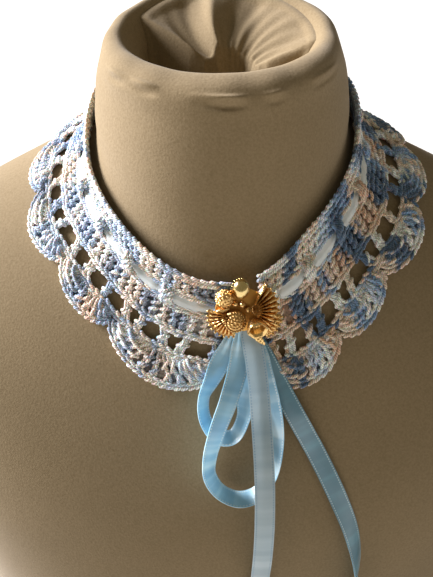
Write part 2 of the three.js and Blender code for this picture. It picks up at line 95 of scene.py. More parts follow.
def mesh_piece(name, points, faces, dye, corner_uv=None):
    """A mesh from points in millimetres, lists of corners, a dye for each point and a map for each corner."""
    mesh = bpy.data.meshes.new(name)
    mesh.from_pydata((points * MM).tolist(), [], faces)
    if corner_uv is not None:
        mesh.uv_layers.new(name="Along").data.foreach_set("uv", corner_uv.astype(np.float32).ravel())
    rgba = np.ones((len(points), 4), dtype=np.float32)
    rgba[:, :3] = dye
    mesh.color_attributes.new("dye", "FLOAT_COLOR", "POINT").data.foreach_set("color", rgba.ravel())
    mesh.update()
    piece = bpy.data.objects.new(name, mesh)
    bpy.context.collection.objects.link(piece)
    return piece


def grid_piece(name, points, uv=None, closed=False):
    """A sheet from a grid of points (rows, columns, 3) in millimetres: a grid primitive whose points are
    moved to their places. A closed one is joined along its first and last column."""
    rows, columns = points.shape[:2]
    deselect()
    bpy.ops.mesh.primitive_grid_add(x_subdivisions=columns - 1, y_subdivisions=rows - 1, size=1)
    piece = bpy.context.object
    piece.name = piece.data.name = name
    mesh = piece.data
    mesh.vertices.foreach_set("co", (points * MM).astype(np.float32).ravel())
    layer = mesh.uv_layers[0]
    layer.name = "Along"
    if uv is not None:
        corner = np.zeros(len(mesh.loops), dtype=np.int32)
        mesh.loops.foreach_get("vertex_index", corner)
        layer.data.foreach_set("uv", uv.reshape(-1, 2)[corner].astype(np.float32).ravel())
    mesh.update()
    if closed:
        edit_all(piece, bpy.ops.mesh.remove_doubles, threshold=0.00001)
    return piece


def apply_modifier(piece, kind, **settings):
    make_active(piece)
    modifier = piece.modifiers.new(kind.title(), kind)
    for name, value in settings.items():
        setattr(modifier, name, value)
    bpy.ops.object.modifier_apply(modifier=modifier.name)


def smooth(piece, degrees=None):
    make_active(piece)
    if degrees is None:
        bpy.ops.object.shade_smooth()
    else:
        bpy.ops.object.shade_smooth_by_angle(angle=math.radians(degrees))


def settle(piece, material, replaced=()):
    """The last step of each piece: its material, its body and the CAD nodes that it stands for."""
    piece.data.materials.clear()
    piece.data.materials.append(material)
    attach(piece, BODY)
    if replaced:
        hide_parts(*replaced)
    print(f"{piece.name}: {len(piece.data.polygons)} faces")


def smoothstep(value, low, high):
    share = np.clip((np.asarray(value, dtype=float) - low) / (high - low), 0, 1)
    return share * share * (3 - 2 * share)


def bump_at(value, middle, width):
    """1 where the value is at the middle, and less and less away from it."""
    return np.exp(-(((value - middle) / width) ** 2))


def unit(vectors):
    return vectors / np.maximum(np.linalg.norm(vectors, axis=-1, keepdims=True), 1e-9)


def add_up(steps):
    """How far along a line each of its points lies, from the steps between them."""
    return np.concatenate([np.zeros_like(steps[..., :1]), np.cumsum(steps, axis=-1)], axis=-1)


def run_length(points):
    return add_up(np.linalg.norm(np.diff(points, axis=-2), axis=-1))


def stacked(*tables):
    """Tables spread over each other and stacked, as pairs or as points."""
    return np.stack(np.broadcast_arrays(*tables), -1)


# %% [markdown]
# ## The form's surface
# A dress form is a stack of rings that are neither circles nor level. Each ring here names its half width
# and the place of its side, front and back, and a smooth curve runs between rings. The CAD model uses the
# same rings, so what is laid on this surface lies on the solid too.

# %% Rings of the dress form
ROOT_HEIGHT = 330
RING_NAMES = "floor well lip crest rim neck nape root yoke shoulder tip cap arm chest waist base".split()
# half width, side y and z, front y and z, back y and z; z is measured from the root of the neck at its side
RINGS = np.array([
    [30, 9, 22, -23, 15, 40, 30],
    [36.5, 8, 30, -30, 23, 46, 40],
    [39, 8, 42, -32, 35, 49, 54],
    [47, 7, 51, -41, 43, 57, 64],
    [56.5, 5, 40, -53, 30, 64, 54],
    [60, 4, 22, -57.5, 6, 66, 36],
    [60.5, 3, 10, -60, -24, 67, 20],
    [66, 2, -1, -66, -48, 73, 6],
    [90, 0, -12.5, -78, -78, 86, -14],
    [128, -2, -28, -94, -118, 98, -52],
    [165, -3, -48, -108, -160, 108, -96],
    [183, -3, -80, -113, -196, 113, -146],
    [182, -2, -135, -114, -232, 114, -200],
    [172, 0, -210, -112, -270, 111, -250],
    [158, 0, -300, -106, -310, 103, -306],
    [150, 0, -330, -103, -330, 100, -330],
], dtype=float)
RINGS_AND_ENDS = np.vstack([2 * RINGS[0] - RINGS[1], RINGS, 2 * RINGS[-1] - RINGS[-2]])
LAST_RING = len(RINGS) - 1


def ring(name):
    return RING_NAMES.index(name)


def ring_values(place):
    place = np.asarray(place, dtype=float)
    i = np.clip(np.floor(place).astype(int), 0, LAST_RING - 1)
    u = (place - i)[..., None]
    a, b, c, d = (RINGS_AND_ENDS[i + k] for k in range(4))
    return b + ((c - a) * u + (2 * a - 5 * b + 4 * c - d) * u**2 + (3 * b - a - 3 * c + d) * u**3) / 2


def form_point(place, angle):
    half, side_y, side_z, front_y, front_z, back_y, back_z = np.moveaxis(ring_values(place), -1, 0)
    cos = np.cos(angle)

    def around(side, front, back):
        return side - (back - front) / 2 * cos + ((back + front) / 2 - side) * cos**2

    x = half * np.sin(angle)
    return np.stack([x, around(side_y, front_y, back_y), ROOT_HEIGHT + around(side_z, front_z, back_z)], -1)


def form_normal(place, angle):
    step = 1e-3
    down = form_point(place + step, angle) - form_point(place - step, angle)
    across = form_point(place, angle + step) - form_point(place, angle - step)
    return unit(np.cross(down, across))


print("front of the root ring:", form_point(np.array(ring("root")), 0.0))

# %% [markdown]
# ## The collar's own map
# A crocheter counts stitches round and rows down, so the collar has a map of its own: degrees round the
# neck, and the depth below the neck edge measured along the cloth. The map is worked out once on a fine
# grid, and every stitch looks its place up there.

# %% Map of the collar
ANGLE_STEP, DEPTH_STEP = 1.5, 0.5
MAP_ANGLES = np.arange(0, 361, ANGLE_STEP)
MAP_DEPTHS = np.arange(-6, 64.1, DEPTH_STEP)
FRONT_DROP, BACK_RISE = 0.35, 1.4  # of the neck edge, in rings
NECK_STAND, EDGE_STAND, STAND_SPAN = 3.2, 0.8, 32
RIGHT_DROOP, LEFT_TUCK, DROOP_FROM, DROOP_SPAN = 8, 4, 8, 44
BAND_RISE, BAND_SPAN = 5, 12


def neckline_place(angle):
    back = np.clip((0.35 - np.cos(angle)) / 0.9, 0, 1)
    return ring("nape") + 0.3 + FRONT_DROP * np.maximum(0, np.cos(angle)) ** 4 - BACK_RISE * back


def collar_map():
    points = np.zeros((len(MAP_ANGLES), len(MAP_DEPTHS), 3))
    normals = np.zeros_like(points)
    for i, degrees in enumerate(MAP_ANGLES):
        angle = math.radians(degrees)
        start = neckline_place(angle)
        places = np.linspace(start - 0.6, ring("tip"), 320)
        lengths = run_length(form_point(places, angle))
        lengths -= np.interp(start, places, lengths)
        at = np.interp(MAP_DEPTHS, lengths, places)
        points[i] = form_point(at, angle)
        normals[i] = form_normal(at, angle)
    return points, normals


MAP_POINTS, MAP_NORMALS = collar_map()
MAP_SPREAD = np.linalg.norm(np.gradient(MAP_POINTS, MAP_ANGLES, axis=0), axis=-1)  # mm for each degree


def look_up(table, degrees, depth):
    i = np.mod(degrees, 360) / ANGLE_STEP
    j = (np.clip(depth, MAP_DEPTHS[0], MAP_DEPTHS[-1]) - MAP_DEPTHS[0]) / DEPTH_STEP
    i0 = np.clip(np.floor(i).astype(int), 0, len(MAP_ANGLES) - 2)
    j0 = np.clip(np.floor(j).astype(int), 0, len(MAP_DEPTHS) - 2)
    u, v = i - i0, j - j0
    if table.ndim == 3:
        u, v = u[..., None], v[..., None]
    top = table[i0, j0] * (1 - u) + table[i0 + 1, j0] * u
    low = table[i0, j0 + 1] * (1 - u) + table[i0 + 1, j0 + 1] * u
    return top * (1 - v) + low * v


def hang(degrees, depth):
    """How much further down a point lies than its row: the right corner droops, the left side is tucked up,
    and the right of the neck band stands taller."""
    right = RIGHT_DROOP * (1 - smoothstep(degrees, 22, 52))
    from_front = 360 - degrees
    left = -LEFT_TUCK * smoothstep(from_front, 12, 60) * (1 - smoothstep(from_front, 100, 150))
    taller = BAND_RISE * smoothstep(degrees, 14, 38) * (1 - smoothstep(degrees, 85, 120))
    return (np.where(degrees < 180, right, left) * np.maximum(0, depth - DROOP_FROM) / DROOP_SPAN
            - taller * np.clip(1 - depth / BAND_SPAN, 0, None))


def collar_at(degrees, depth, height):
    """The point at a height above the inside of the collar, and the direction straight out of it."""
    degrees, depth, height = (v.astype(float) for v in np.broadcast_arrays(degrees, depth, height))
    lower = depth + hang(degrees, depth)
    out = unit(look_up(MAP_NORMALS, degrees, lower))
    stand_off = NECK_STAND + (EDGE_STAND - NECK_STAND) * smoothstep(depth, 0, STAND_SPAN)
    return look_up(MAP_POINTS, degrees, lower) + out * (stand_off + height)[..., None], out


print("places on the map:", MAP_POINTS.shape[0] * MAP_POINTS.shape[1])

# %% [markdown]
# ## The camera
# A portrait lens of about 44 mm looks down at the front of the neck from a little to the left, close enough
# that the chest fills the bottom of the view. It is made first, with the free ribbons, because both decide
# how much room the picture needs.

# %% Camera
LOOK_AT = Vector((-2.7, -68, 289.5)) * MM
CAMERA_AZIMUTH, CAMERA_ELEVATION, CAMERA_ROLL = (math.radians(v) for v in (1.1, 32.8, -1))
CAMERA_DISTANCE, CAMERA_LENS = 0.3065, 43.7

direction = Vector((
    math.sin(CAMERA_AZIMUTH) * math.cos(CAMERA_ELEVATION),
    -math.cos(CAMERA_AZIMUTH) * math.cos(CAMERA_ELEVATION),
    math.sin(CAMERA_ELEVATION),
))
camera = bpy.data.objects.new("camera", bpy.data.cameras.new("camera"))
camera.data.lens = CAMERA_LENS
camera.data.clip_start = 0.01
bpy.context.collection.objects.link(camera)
aim = (-direction).to_track_quat("-Z", "Y").to_matrix().to_4x4()
camera.matrix_world = (
    Matrix.Translation(LOOK_AT + direction * CAMERA_DISTANCE) @ aim @ Matrix.Rotation(CAMERA_ROLL, 4, "Z")
)
bpy.context.scene.camera = camera
print("camera at", [round(v, 3) for v in camera.location])

# %% [markdown]
# ## Making a finish
# Every finish is a small network of nodes on one shader. One function adds a node with its settings and its
# links, and another turns the hex colours of a paint chart into the linear numbers that the shader mixes.

# %% Helpers for finishes
def colour(hex_text):
    values = [int(hex_text[i:i + 2], 16) / 255 for i in (0, 2, 4)]
    linear = [v / 12.92 if v <= 0.04045 else ((v + 0.055) / 1.055) ** 2.4 for v in values]
    return (*linear, 1.0)


def connect(material, node, links):
    """Links each named input to a socket, or to the first output of a node."""
    for key, source in links.items():
        socket = source.outputs[0] if isinstance(source, bpy.types.Node) else source
        material.node_tree.links.new(socket, node.inputs[key])


def add_node(material, kind, settings=None, links=None):
    """Adds one node. A setting is a property or a socket's value, and stops are a colour ramp's places."""
    made = material.node_tree.nodes.new("ShaderNode" + kind)
    for key, value in (settings or {}).items():
        if key == "stops":
            ramp = made.color_ramp
            while len(ramp.elements) < len(value):
                ramp.elements.new(0.5)
            for element, (position, shade) in zip(ramp.elements, value):
                element.position = position
                element.color = colour(shade)
        elif isinstance(key, str) and hasattr(made, key):
            setattr(made, key, value)
        else:
            made.inputs[key].default_value = value
    connect(material, made, links or {})
    return made


def new_finish(name, **sockets):
    """A new material, its shader with the shader's own sockets set, and the way to add nodes to it."""
    material = bpy.data.materials.new(name)
    material.use_nodes = True
    shader = material.node_tree.nodes["Principled BSDF"]
    for socket, value in sockets.items():
        shader.inputs[socket.replace("_", " ")].default_value = value
    return material, shader, functools.partial(add_node, material)


# %% [markdown]
# ## Satin ribbon
# Satin is woven so that long threads float over the face. They run along the ribbon, so the gloss stretches
# across it, and the two edges are woven tighter with a line of small stitches just inside. The ribbon is
# pale blue polyester, thin enough to let some light through. Its tone changes softly along it in bands of
# painted reflection. It is painted in four tones: whitish with painted reflection on the face and the
# threaded run, light with painted highlight on the loops, and darker with painted shade on the right tail
# and the knot.

# %% Satin finish
RIBBON_WIDTH, RIBBON_WALL = 9, 0.35
STITCH_INSET, STITCH_HALF_WIDTH, STITCH_PITCH = 0.75, 0.26, 1.3
FLOAT_PITCH = 0.4  # the real threads are too fine to show


def satin_finish(name, shades, stitch_shade, roughness):
    material, shader, add = new_finish(
        name, Roughness=roughness, IOR=1.52, Specular_IOR_Level=0.85, Anisotropic=0.5,
        Sheen_Weight=0.2, Sheen_Roughness=0.35,
        Subsurface_Weight=0.35, Subsurface_Radius=(0.7, 0.9, 1.0), Subsurface_Scale=0.001,
    )
    split = add("SeparateXYZ", links={0: add("UVMap", {"uv_map": "Along"})})
    across, along = split.outputs["X"], split.outputs["Y"]
    # soft bands across the ribbon, lighter and darker: painted reflection of the room
    reflection_bands = add("TexNoise", {"noise_dimensions": "1D", "Scale": 0.11, "Detail": 2.0}, {"W": along})
    tone = add("ValToRGB", {"stops": list(zip((0.3, 0.5, 0.7), shades))}, {0: reflection_bands})
    # a line of stitches just inside each edge
    side = add("Math", {"operation": "ABSOLUTE"}, {0: across})
    offset = add("Math", {"operation": "SUBTRACT", 1: RIBBON_WIDTH / 2 - STITCH_INSET}, {0: side})
    far = add("Math", {"operation": "ABSOLUTE"}, {0: offset})
    line = add("Math", {"operation": "LESS_THAN", 1: STITCH_HALF_WIDTH}, {0: far})
    turns = add("Math", {"operation": "MULTIPLY", 1: 2 * math.pi / STITCH_PITCH}, {0: along})
    wave = add("Math", {"operation": "SINE"}, {0: turns})
    dash = add("Math", {"operation": "GREATER_THAN", 1: -0.2}, {0: wave})
    stitch = add("Math", {"operation": "MULTIPLY"}, {0: line, 1: dash})
    mixed = add("Mix", {"data_type": "RGBA", 7: colour(stitch_shade)}, {0: stitch, 6: tone})
    # the floats stand up a little, and the stitches lie in a furrow
    threads = add("Math", {"operation": "MULTIPLY", 1: 2 * math.pi / FLOAT_PITCH}, {0: across})
    ridge = add("Math", {"operation": "SINE"}, {0: threads})
    fine = add("Math", {"operation": "MULTIPLY", 1: 0.12}, {0: ridge})
    height = add("Math", {"operation": "SUBTRACT"}, {0: fine, 1: stitch})
    bump = add("Bump", {"Strength": 0.5, "Distance": 0.0002}, {"Height": height})
    connect(material, shader, {"Base Color": mixed.outputs[2], "Normal": bump})
    return material


# one pale blue ribbon in four tones: painted reflection on the face and the threaded run, painted highlight
# on the loops, and painted shade on the darker one for the right tail and the knot
SATIN_FACE_PAINTED_REFLECTION = satin_finish("polyester_satin_face_painted_reflection", ("8FA3AD", "9AADB5", "A6B7BE"), "6F8FA6", 0.38)
SATIN_BACK_PAINTED_SHADE = satin_finish("polyester_satin_back_painted_shade", ("5A889C", "608C9F", "689AAE"), "B9CFD6", 0.3)
SATIN_LOOP_PAINTED_HIGHLIGHT = satin_finish("polyester_satin_loops_painted_highlight", ("8CBAD4", "9FC8DE", "C4E0EE"), "D3E1E6", 0.25)
SATIN_THREADED_PAINTED_REFLECTION = satin_finish("polyester_satin_threaded_painted_reflection", ("CBD4D6", "D6DCDC", "E2E6E4"), "7E98A8", 0.38)


def satin_strip(node, points, uv, material):
    """A strip of satin with its thickness, which stands for the CAD node."""
    strip = grid_piece(node + "_satin", points, uv)
    outward(strip)
    apply_modifier(strip, "SOLIDIFY", thickness=RIBBON_WALL * MM, offset=0)
    smooth(strip, 50)
    settle(strip, material, [node])
    return strip


print("satin finishes:", [satin.name for satin in (SATIN_FACE_PAINTED_REFLECTION, SATIN_BACK_PAINTED_SHADE, SATIN_LOOP_PAINTED_HIGHLIGHT, SATIN_THREADED_PAINTED_REFLECTION)])

# %% [markdown]
# ## The free ribbons
# One length of ribbon is tied behind the brooch: two loops and two tails. A flat ribbon is a strip whose
# cross direction turns as it hangs, so each run has a route over the chest with a height off it and a turn.
# Near the knot the strip is squeezed into pleats, and it opens to its full width lower down.

# %% Routes of the free ribbons
# the satin, whether it comes back to the knot, the mm over which it opens, and the stops of its route:
# across x and height z on the chest from the root of the neck, lift off the form, turn in degrees
ROUTES = {
    "ribbon_small_loop": (SATIN_LOOP_PAINTED_HIGHLIGHT, True, 22, [
        (5, -54.5, 2.9, 0), (4.3, -61.5, 3.6, 0), (2, -67.5, 4.7, 0), (-1.4, -73.5, 5.6, 4),
        (-5, -81, 6.6, 36), (-8.6, -89, 6.4, 58), (-8, -98, 6.4, 62), (-2.5, -105.5, 6, 62),
        (4, -105.5, 6, 62), (8.4, -98, 5.8, 56), (9.4, -88, 4.4, 30), (8.4, -77, 3, 8),
        (7.4, -66, 1.6, 0), (7.2, -54.5, 1.6, 0)]),
    "ribbon_right_tail": (SATIN_BACK_PAINTED_SHADE, False, 22, [
        (11.6, -54.5, 1.6, 0), (13.2, -60.5, 1.6, 0), (15.4, -66.5, 4.2, 0), (18.6, -73, 4.7, 0),
        (24, -83, 4.2, 0), (32.5, -98, 4, 0), (37.6, -107, 2.6, 0), (42.6, -116, 1.8, 0),
        (52.5, -136, 2.2, 8), (60.5, -157, 3.6, 30), (64, -178, 5.2, 56), (63, -198, 5.6, 66)]),
    "ribbon_large_loop": (SATIN_LOOP_PAINTED_HIGHLIGHT, True, 22, [
        (7.4, -54.5, 5.5, 0), (7.2, -65, 5.6, 0), (6.4, -75, 7, 6), (2.6, -87, 12, 18),
        (-2.4, -99, 16, 32), (-5.8, -111, 15, 46), (-6, -122.5, 10, 58), (-1, -131, 6.8, 64),
        (7, -134.5, 6, 64), (15, -132, 6, 64), (21, -123.5, 6, 62), (23.4, -112.5, 6.4, 58),
        (23, -101, 7, 44), (20.5, -90, 7.2, 22), (17.5, -79, 6.6, 6), (14.4, -66, 5.6, 0),
        (11.4, -54.5, 4.2, 0)]),
    "ribbon_centre_tail": (SATIN_FACE_PAINTED_REFLECTION, False, 8, [
        (10, -54.5, 6.8, 0), (12.4, -65, 7.1, 0), (14.4, -78, 11.5, 0), (16, -98, 18, 0),
        (17.2, -119, 20, 0), (17.6, -140, 18, 0), (17.2, -160, 12, 0), (16.6, -180, 5, 0),
        (16.4, -200, 2, 0)]),
}
GATHERED_SHARE = 0.45
RIBBON_STEP, RIBBON_COLUMNS = 1.0, 12
PLEAT_HEIGHT, HOLLOW_HEIGHT = 0.75, 0.16
CUT_REACH, CUT_SLANT = 12, 0.8


def chest_place(x, z):
    """The place among the rings, and the angle, of a point on the front of the form."""
    def angle_at(place):
        return math.asin(np.clip(x / ring_values(place)[0], -0.99, 0.99))

    low, high = float(ring("neck")), float(LAST_RING)
    for _ in range(40):
        middle = (low + high) / 2
        if form_point(np.array(middle), angle_at(middle))[2] > ROOT_HEIGHT + z:
            low = middle
        else:
            high = middle
    return low, angle_at(low)


def curve_points(stops, samples_each=60):
    """A centripetal curve through the stops: its points, and how many stops along each lies."""
    ends = np.vstack([2 * stops[0] - stops[1], stops, 2 * stops[-1] - stops[-2]])
    points, along = [], []
    for i in range(len(stops) - 1):
        p = ends[i:i + 4]
        d = [max(float(np.sum((p[k + 1] - p[k]) ** 2)) ** 0.25, 1e-4) for k in range(3)]
        out = ((p[1] - p[0]) / d[0] - (p[2] - p[0]) / (d[0] + d[1]) + (p[2] - p[1]) / d[1]) * d[1]
        into = ((p[2] - p[1]) / d[1] - (p[3] - p[1]) / (d[1] + d[2]) + (p[3] - p[2]) / d[2]) * d[1]
        t = np.linspace(0, 1, samples_each, endpoint=i == len(stops) - 2)[:, None]
        cubic = 2 * (p[1] - p[2]) + out + into
        square = 3 * (p[2] - p[1]) - 2 * out - into
        points.append(p[1] + out * t + square * t**2 + cubic * t**3)
        along.append(i + t[:, 0])
    return np.vstack(points), np.concatenate(along)


def read_along(at, known, table):
    """Each column of a table, read between its known places."""
    return np.stack([np.interp(at, known, column) for column in table.T], -1)


def ribbon_grid(gathered, is_loop, stops):
    """The points of a strip, its map in mm, its middle line and its length."""
    at, angle = np.array([chest_place(x, z) for x, z, _, _ in stops]).T
    lifts, turns = np.array(stops, dtype=float)[:, 2:].T
    normals = form_normal(at, angle)
    line, along = curve_points(form_point(at, angle) + normals * lifts[:, None])
    lengths = run_length(line)
    total = lengths[-1]
    s = np.linspace(0, total, int(round(total / RIBBON_STEP)) + 1)
    middle = read_along(s, lengths, line)
    stop = np.interp(s, lengths, along)
    out = unit(read_along(stop, range(len(stops)), normals))
    turn = np.radians(np.interp(stop, range(len(stops)), turns))[:, None]
    tangent = unit(np.gradient(middle, axis=0))
    width = np.cos(turn) * unit(np.cross(tangent, out)) + np.sin(turn) * out
    face = unit(np.cross(width, tangent))
    from_knot = np.minimum(s, total - s) if is_loop else s
    opened = GATHERED_SHARE + (1 - GATHERED_SHARE) * smoothstep(from_knot, 0, gathered)[:, None]
    column = np.linspace(-0.5, 0.5, RIBBON_COLUMNS + 1)
    # squeezed cloth stands in pleats; open cloth keeps a slight hollow
    pleat = (PLEAT_HEIGHT * (1 - opened) * np.cos(4 * math.pi * column)
             + HOLLOW_HEIGHT * np.cos(2 * math.pi * column))
    sideways = column * RIBBON_WIDTH * opened
    points = middle[:, None] + width[:, None] * sideways[..., None] + face[:, None] * pleat[..., None]
    return points, stacked(column[None, :] * RIBBON_WIDTH, s[:, None]), middle, total


ribbon_lengths = {}
for node, (satin, is_loop, gathered, stops) in ROUTES.items():
    points, uv, middle, total = ribbon_grid(gathered, is_loop, stops)
    if not is_loop:
        # a slanted cut keeps the end of a satin ribbon from fraying
        cut = np.clip((total - uv[..., 1]) / CUT_REACH, 0, 1)
        points += (1 - cut)[..., None] * (points[-2] - points[-1])[None] * uv[..., :1] * CUT_SLANT
    strip = satin_strip(node, points, uv, satin)
    ribbon_lengths[node] = round(total)
print("free ribbon lengths in mm:", ribbon_lengths)

# %% [markdown]
# ## The dress form
# The form is a moulded torso with a cotton jersey cover pulled over it. The cover is smooth on the chest,
# rolls over the rim of the neck in soft lumps with a wrinkle along it, and shows a small dimple where a pin
# has been. A grid is laid over the rings and moved by a few soft bumps, then its first and last columns are
# joined.

# %% Jersey finish
KNIT_SCALE = 900.0  # loops of 1.1 mm; the real ones are too fine to show


def jersey_finish():
    # brushed cotton jersey: no gloss, a soft nap, and a knit that shows only as a fine grain
    material, shader, add = new_finish(
        "cotton_jersey", Roughness=0.95, Sheen_Weight=0.1, Sheen_Roughness=0.6, Specular_IOR_Level=0.12)
    place = add("TexCoord").outputs["Object"]
    cloud = add("TexNoise", {"Scale": 14.0, "Detail": 3.0}, {0: place})
    grain = add("TexNoise", {"Scale": KNIT_SCALE, "Detail": 2.0, "Roughness": 0.7}, {0: place})
    tone = add("ValToRGB", {"stops": [(0.3, "89775A"), (0.7, "907D5F")]}, {0: cloud})
    speck = add("ValToRGB", {"stops": [(0.3, "E9E6E0"), (0.65, "FFFFFF")]}, {0: grain})
    base = add("Mix", {"data_type": "RGBA", "blend_type": "MULTIPLY", 0: 1.0}, {6: tone, 7: speck})
    loops = add("TexVoronoi", {"Scale": KNIT_SCALE}, {0: place})
    both = add("Math", {"operation": "ADD"}, {0: loops.outputs["Distance"], 1: grain})
    bump = add("Bump", {"Strength": 0.17, "Distance": 0.0003}, {"Height": both})
    connect(material, shader, {"Base Color": base.outputs[2], "Normal": bump})
    return material


JERSEY = jersey_finish()
print("cover finish:", JERSEY.name)

# %% Body of the form
FORM_COLUMNS = 220
# rows of the grid from one ring to the next one named
FORM_ROWS = [("floor", "crest", 36), ("crest", "rim", 60), ("rim", "nape", 24), ("nape", "shoulder", 48)]


def form_relief(place, angle):
    """How far the cover stands proud of the plain rings, in mm."""
    front = np.cos(angle)
    crest = ring("crest")
    lumps = 0.5 * np.sin(7 * angle + 1) + 0.35 * np.sin(13 * angle + 2.2) + 0.25 * np.sin(19 * angle)
    wrinkle_at = crest + 0.6 + 0.05 * np.sin(3 * angle + 0.6) + 0.02 * lumps
    wrinkle = (bump_at(place, wrinkle_at, 0.055) * np.maximum(0, 0.5 + 1.5 * lumps)
               - bump_at(place, wrinkle_at + 0.13, 0.06) * np.maximum(0, 0.3 + 1.3 * lumps))
    roll = bump_at(place, crest + 0.35, 0.4) * (0.5 * lumps + 2.4 * np.sin(angle) ** 2)
    roll += bump_at(place, crest + 0.1, 0.5) * 2.2 * smoothstep(front, 0, 0.8)
    roll += bump_at(place, crest + 0.6, 0.36) * 3.2 * smoothstep(front, 0, 0.8)
    pin_mark = 1.1 * bump_at(place, ring("nape") + 0.2, 0.03) * bump_at(angle, 6.2, 0.02)
    return wrinkle * smoothstep(front, 0.35, 0.8) + roll - pin_mark


place_steps = np.concatenate([
    *(np.linspace(ring(first), ring(last), rows, endpoint=False) for first, last, rows in FORM_ROWS),
    np.linspace(ring("shoulder"), LAST_RING, 44),
])
angle_steps = np.linspace(0, 2 * math.pi, FORM_COLUMNS + 1)
place_grid, angle_grid = np.meshgrid(place_steps, angle_steps, indexing="ij")
form_points = form_point(place_grid, angle_grid)
form_points += form_normal(place_grid, angle_grid) * form_relief(place_grid, angle_grid)[..., None]
form = grid_piece("form_cover", form_points, closed=True)
close_ends(form)
smooth(form, 60)
settle(form, JERSEY, ["form_body"])

# %% [markdown]
# ## The tucked jersey
# The end of the jersey tube is gathered and pushed down into the neck. Two lobes of bunched cloth fill the
# back of the hollow and turn round a dark hole near the front, where the cloth lies low. A round grid is
# used, whose height rises and falls round the hole.

# %% Gathered end of the jersey
GATHER_ROWS, GATHER_COLUMNS = 76, 260
HOLE = np.array([6.0, 3.0])
HOLE_HEIGHT, LOBE_HEIGHT = ROOT_HEIGHT + 8, ROOT_HEIGHT + 33
CLOTH_WALL = 1.2
OVERLAP = 1.008  # the outer edge goes a little way into the wall


def gather_points():
    share = np.linspace(0, 1, GATHER_ROWS)[:, None]
    angle = np.linspace(0, 2 * math.pi, GATHER_COLUMNS + 1)[None, :]
    from_back = np.degrees(angle - math.pi)  # below 0 on the right, above 0 on the left
    left_edge = np.interp(share, [0.08, 0.2, 0.3, 0.5, 0.75, 1], [10, 55, 76, 84, 82, 78])
    right_edge = np.interp(share, [0.08, 0.2, 0.3, 0.5, 1], [40, 90, 112, 124, 116])
    inside = np.where(from_back > 0, left_edge - from_back, right_edge + from_back)
    lobe = np.where(from_back > 0, smoothstep(inside, 0, 14), smoothstep(inside, 0, 20))
    wall = form_point(0.6 + 2.0 * lobe[-1:], angle)
    low = HOLE_HEIGHT + (form_point(0.6, angle)[..., 2] - HOLE_HEIGHT) * share**2
    high = LOBE_HEIGHT + (wall[..., 2] - LOBE_HEIGHT) * np.clip((share - 0.18) / 0.82, 0, 1) ** 0.8
    ridge_at = 1 + 35 * np.clip((1 - share) / 0.75, 0, 1) ** 1.4
    relief = (
        8 * bump_at(from_back, 8, 30) * (1 - share)
        + 3.6 * bump_at(from_back, ridge_at, 12)
        - 2.2 * bump_at(from_back, ridge_at + 27, 14)
        - 2.4 * bump_at(from_back, ridge_at - 27, 13)
        + 1.6 * bump_at(from_back, left_edge - 17, 7)
        + 1.6 * bump_at(from_back, -58, 12)
        + 0.5 * np.sin(0.33 * from_back + 5 * share) * np.sin(9 * share + 0.1 * from_back)
    )
    z = low + lobe * smoothstep(share, 0.08, 0.27) * (high + relief * (1 - share**8) - low)
    z += (wall[..., 2] - z) * smoothstep(share, 0.86, 1)
    xy = HOLE + (wall[..., :2] - HOLE) * share[..., None] * OVERLAP
    return np.concatenate([xy, z[..., None]], -1)


gather = grid_piece("form_gathered_end", gather_points()[::-1], closed=True)
apply_modifier(gather, "SOLIDIFY", thickness=CLOTH_WALL * MM, offset=-1)
outward(gather)
smooth(gather)
settle(gather, JERSEY, ["form_gather"])

# %% [markdown]
# ## Yarn
# Mercerised cotton of double-knit weight is drawn here 1.8 mm thick: several plies twisted together, with
# dull fibres that let a little light through. It is dyed in stretches of denim blue, sky blue, cream and
# tan, which change every few stitches as the yarn is used up. Each strand is a tube whose map runs along it
# in millimetres, and the finish draws the plies on that map, with painted shade in the grooves between them.
# The dye is stored on the points, from where the stitch is.

# %% Yarn finish
YARN_RADIUS, STRAND_SIDES = 0.92, 6
PLIES, PLY_PITCH = 3, 3.4  # each ply goes once round the strand in this many mm


def yarn_finish():
    material, shader, add = new_finish(
        "mercerised_cotton_yarn", Roughness=0.75, Sheen_Weight=0.45, Sheen_Roughness=0.5,
        Specular_IOR_Level=0.15, Subsurface_Weight=0.3, Subsurface_Scale=0.0015,
    )
    dye = add("Attribute", {"attribute_name": "dye"})
    split = add("SeparateXYZ", links={0: add("UVMap", {"uv_map": "Along"})})
    along = add("Math", {"operation": "MULTIPLY", 1: 1 / PLY_PITCH}, {0: split.outputs["X"]})
    around = add("Math", {"operation": "ADD"}, {0: along, 1: split.outputs["Y"]})
    turns = add("Math", {"operation": "MULTIPLY", 1: PLIES * 2 * math.pi}, {0: around})
    wave = add("Math", {"operation": "SINE"}, {0: turns})
    ply = add("Math", {"operation": "MULTIPLY_ADD", 1: 0.5, 2: 0.5}, {0: wave})
    fuzz = add("TexNoise", {"Scale": 1600.0, "Detail": 2.0}, {0: add("TexCoord").outputs["Object"]})
    # painted shade: the dye is darkened in the grooves between the plies and left as it is on their crowns
    shade = add("ValToRGB", {"stops": [(0.0, "AEAEB4"), (0.45, "F0F0F0"), (1.0, "FFFFFF")]}, {0: ply})
    plied = add("Mix", {"data_type": "RGBA", "blend_type": "MULTIPLY", 0: 0.85}, {6: dye, 7: shade})
    height = add("Math", {"operation": "MULTIPLY_ADD", 1: 0.5}, {0: fuzz, 2: ply})
    bump = add("Bump", {"Strength": 0.6, "Distance": 0.00035}, {"Height": height})
    connect(material, shader, {"Base Color": plied.outputs[2], "Normal": bump})
    return material


YARN = yarn_finish()
print("yarn finish:", YARN.name)

# %% [markdown]
# ## Where the dye changes
# The front of the collar is charted row by row as a run of letters: D denim, B blue, S sky, C cream, T tan
# and R rose tan. Each letter covers about two stitches. Round the back the runs are drawn by a seeded
# source, because nobody charts what a crocheter leaves to the yarn. Towards the left end every dye is
# blended with a pale white, which is painted light where the window falls on that side.

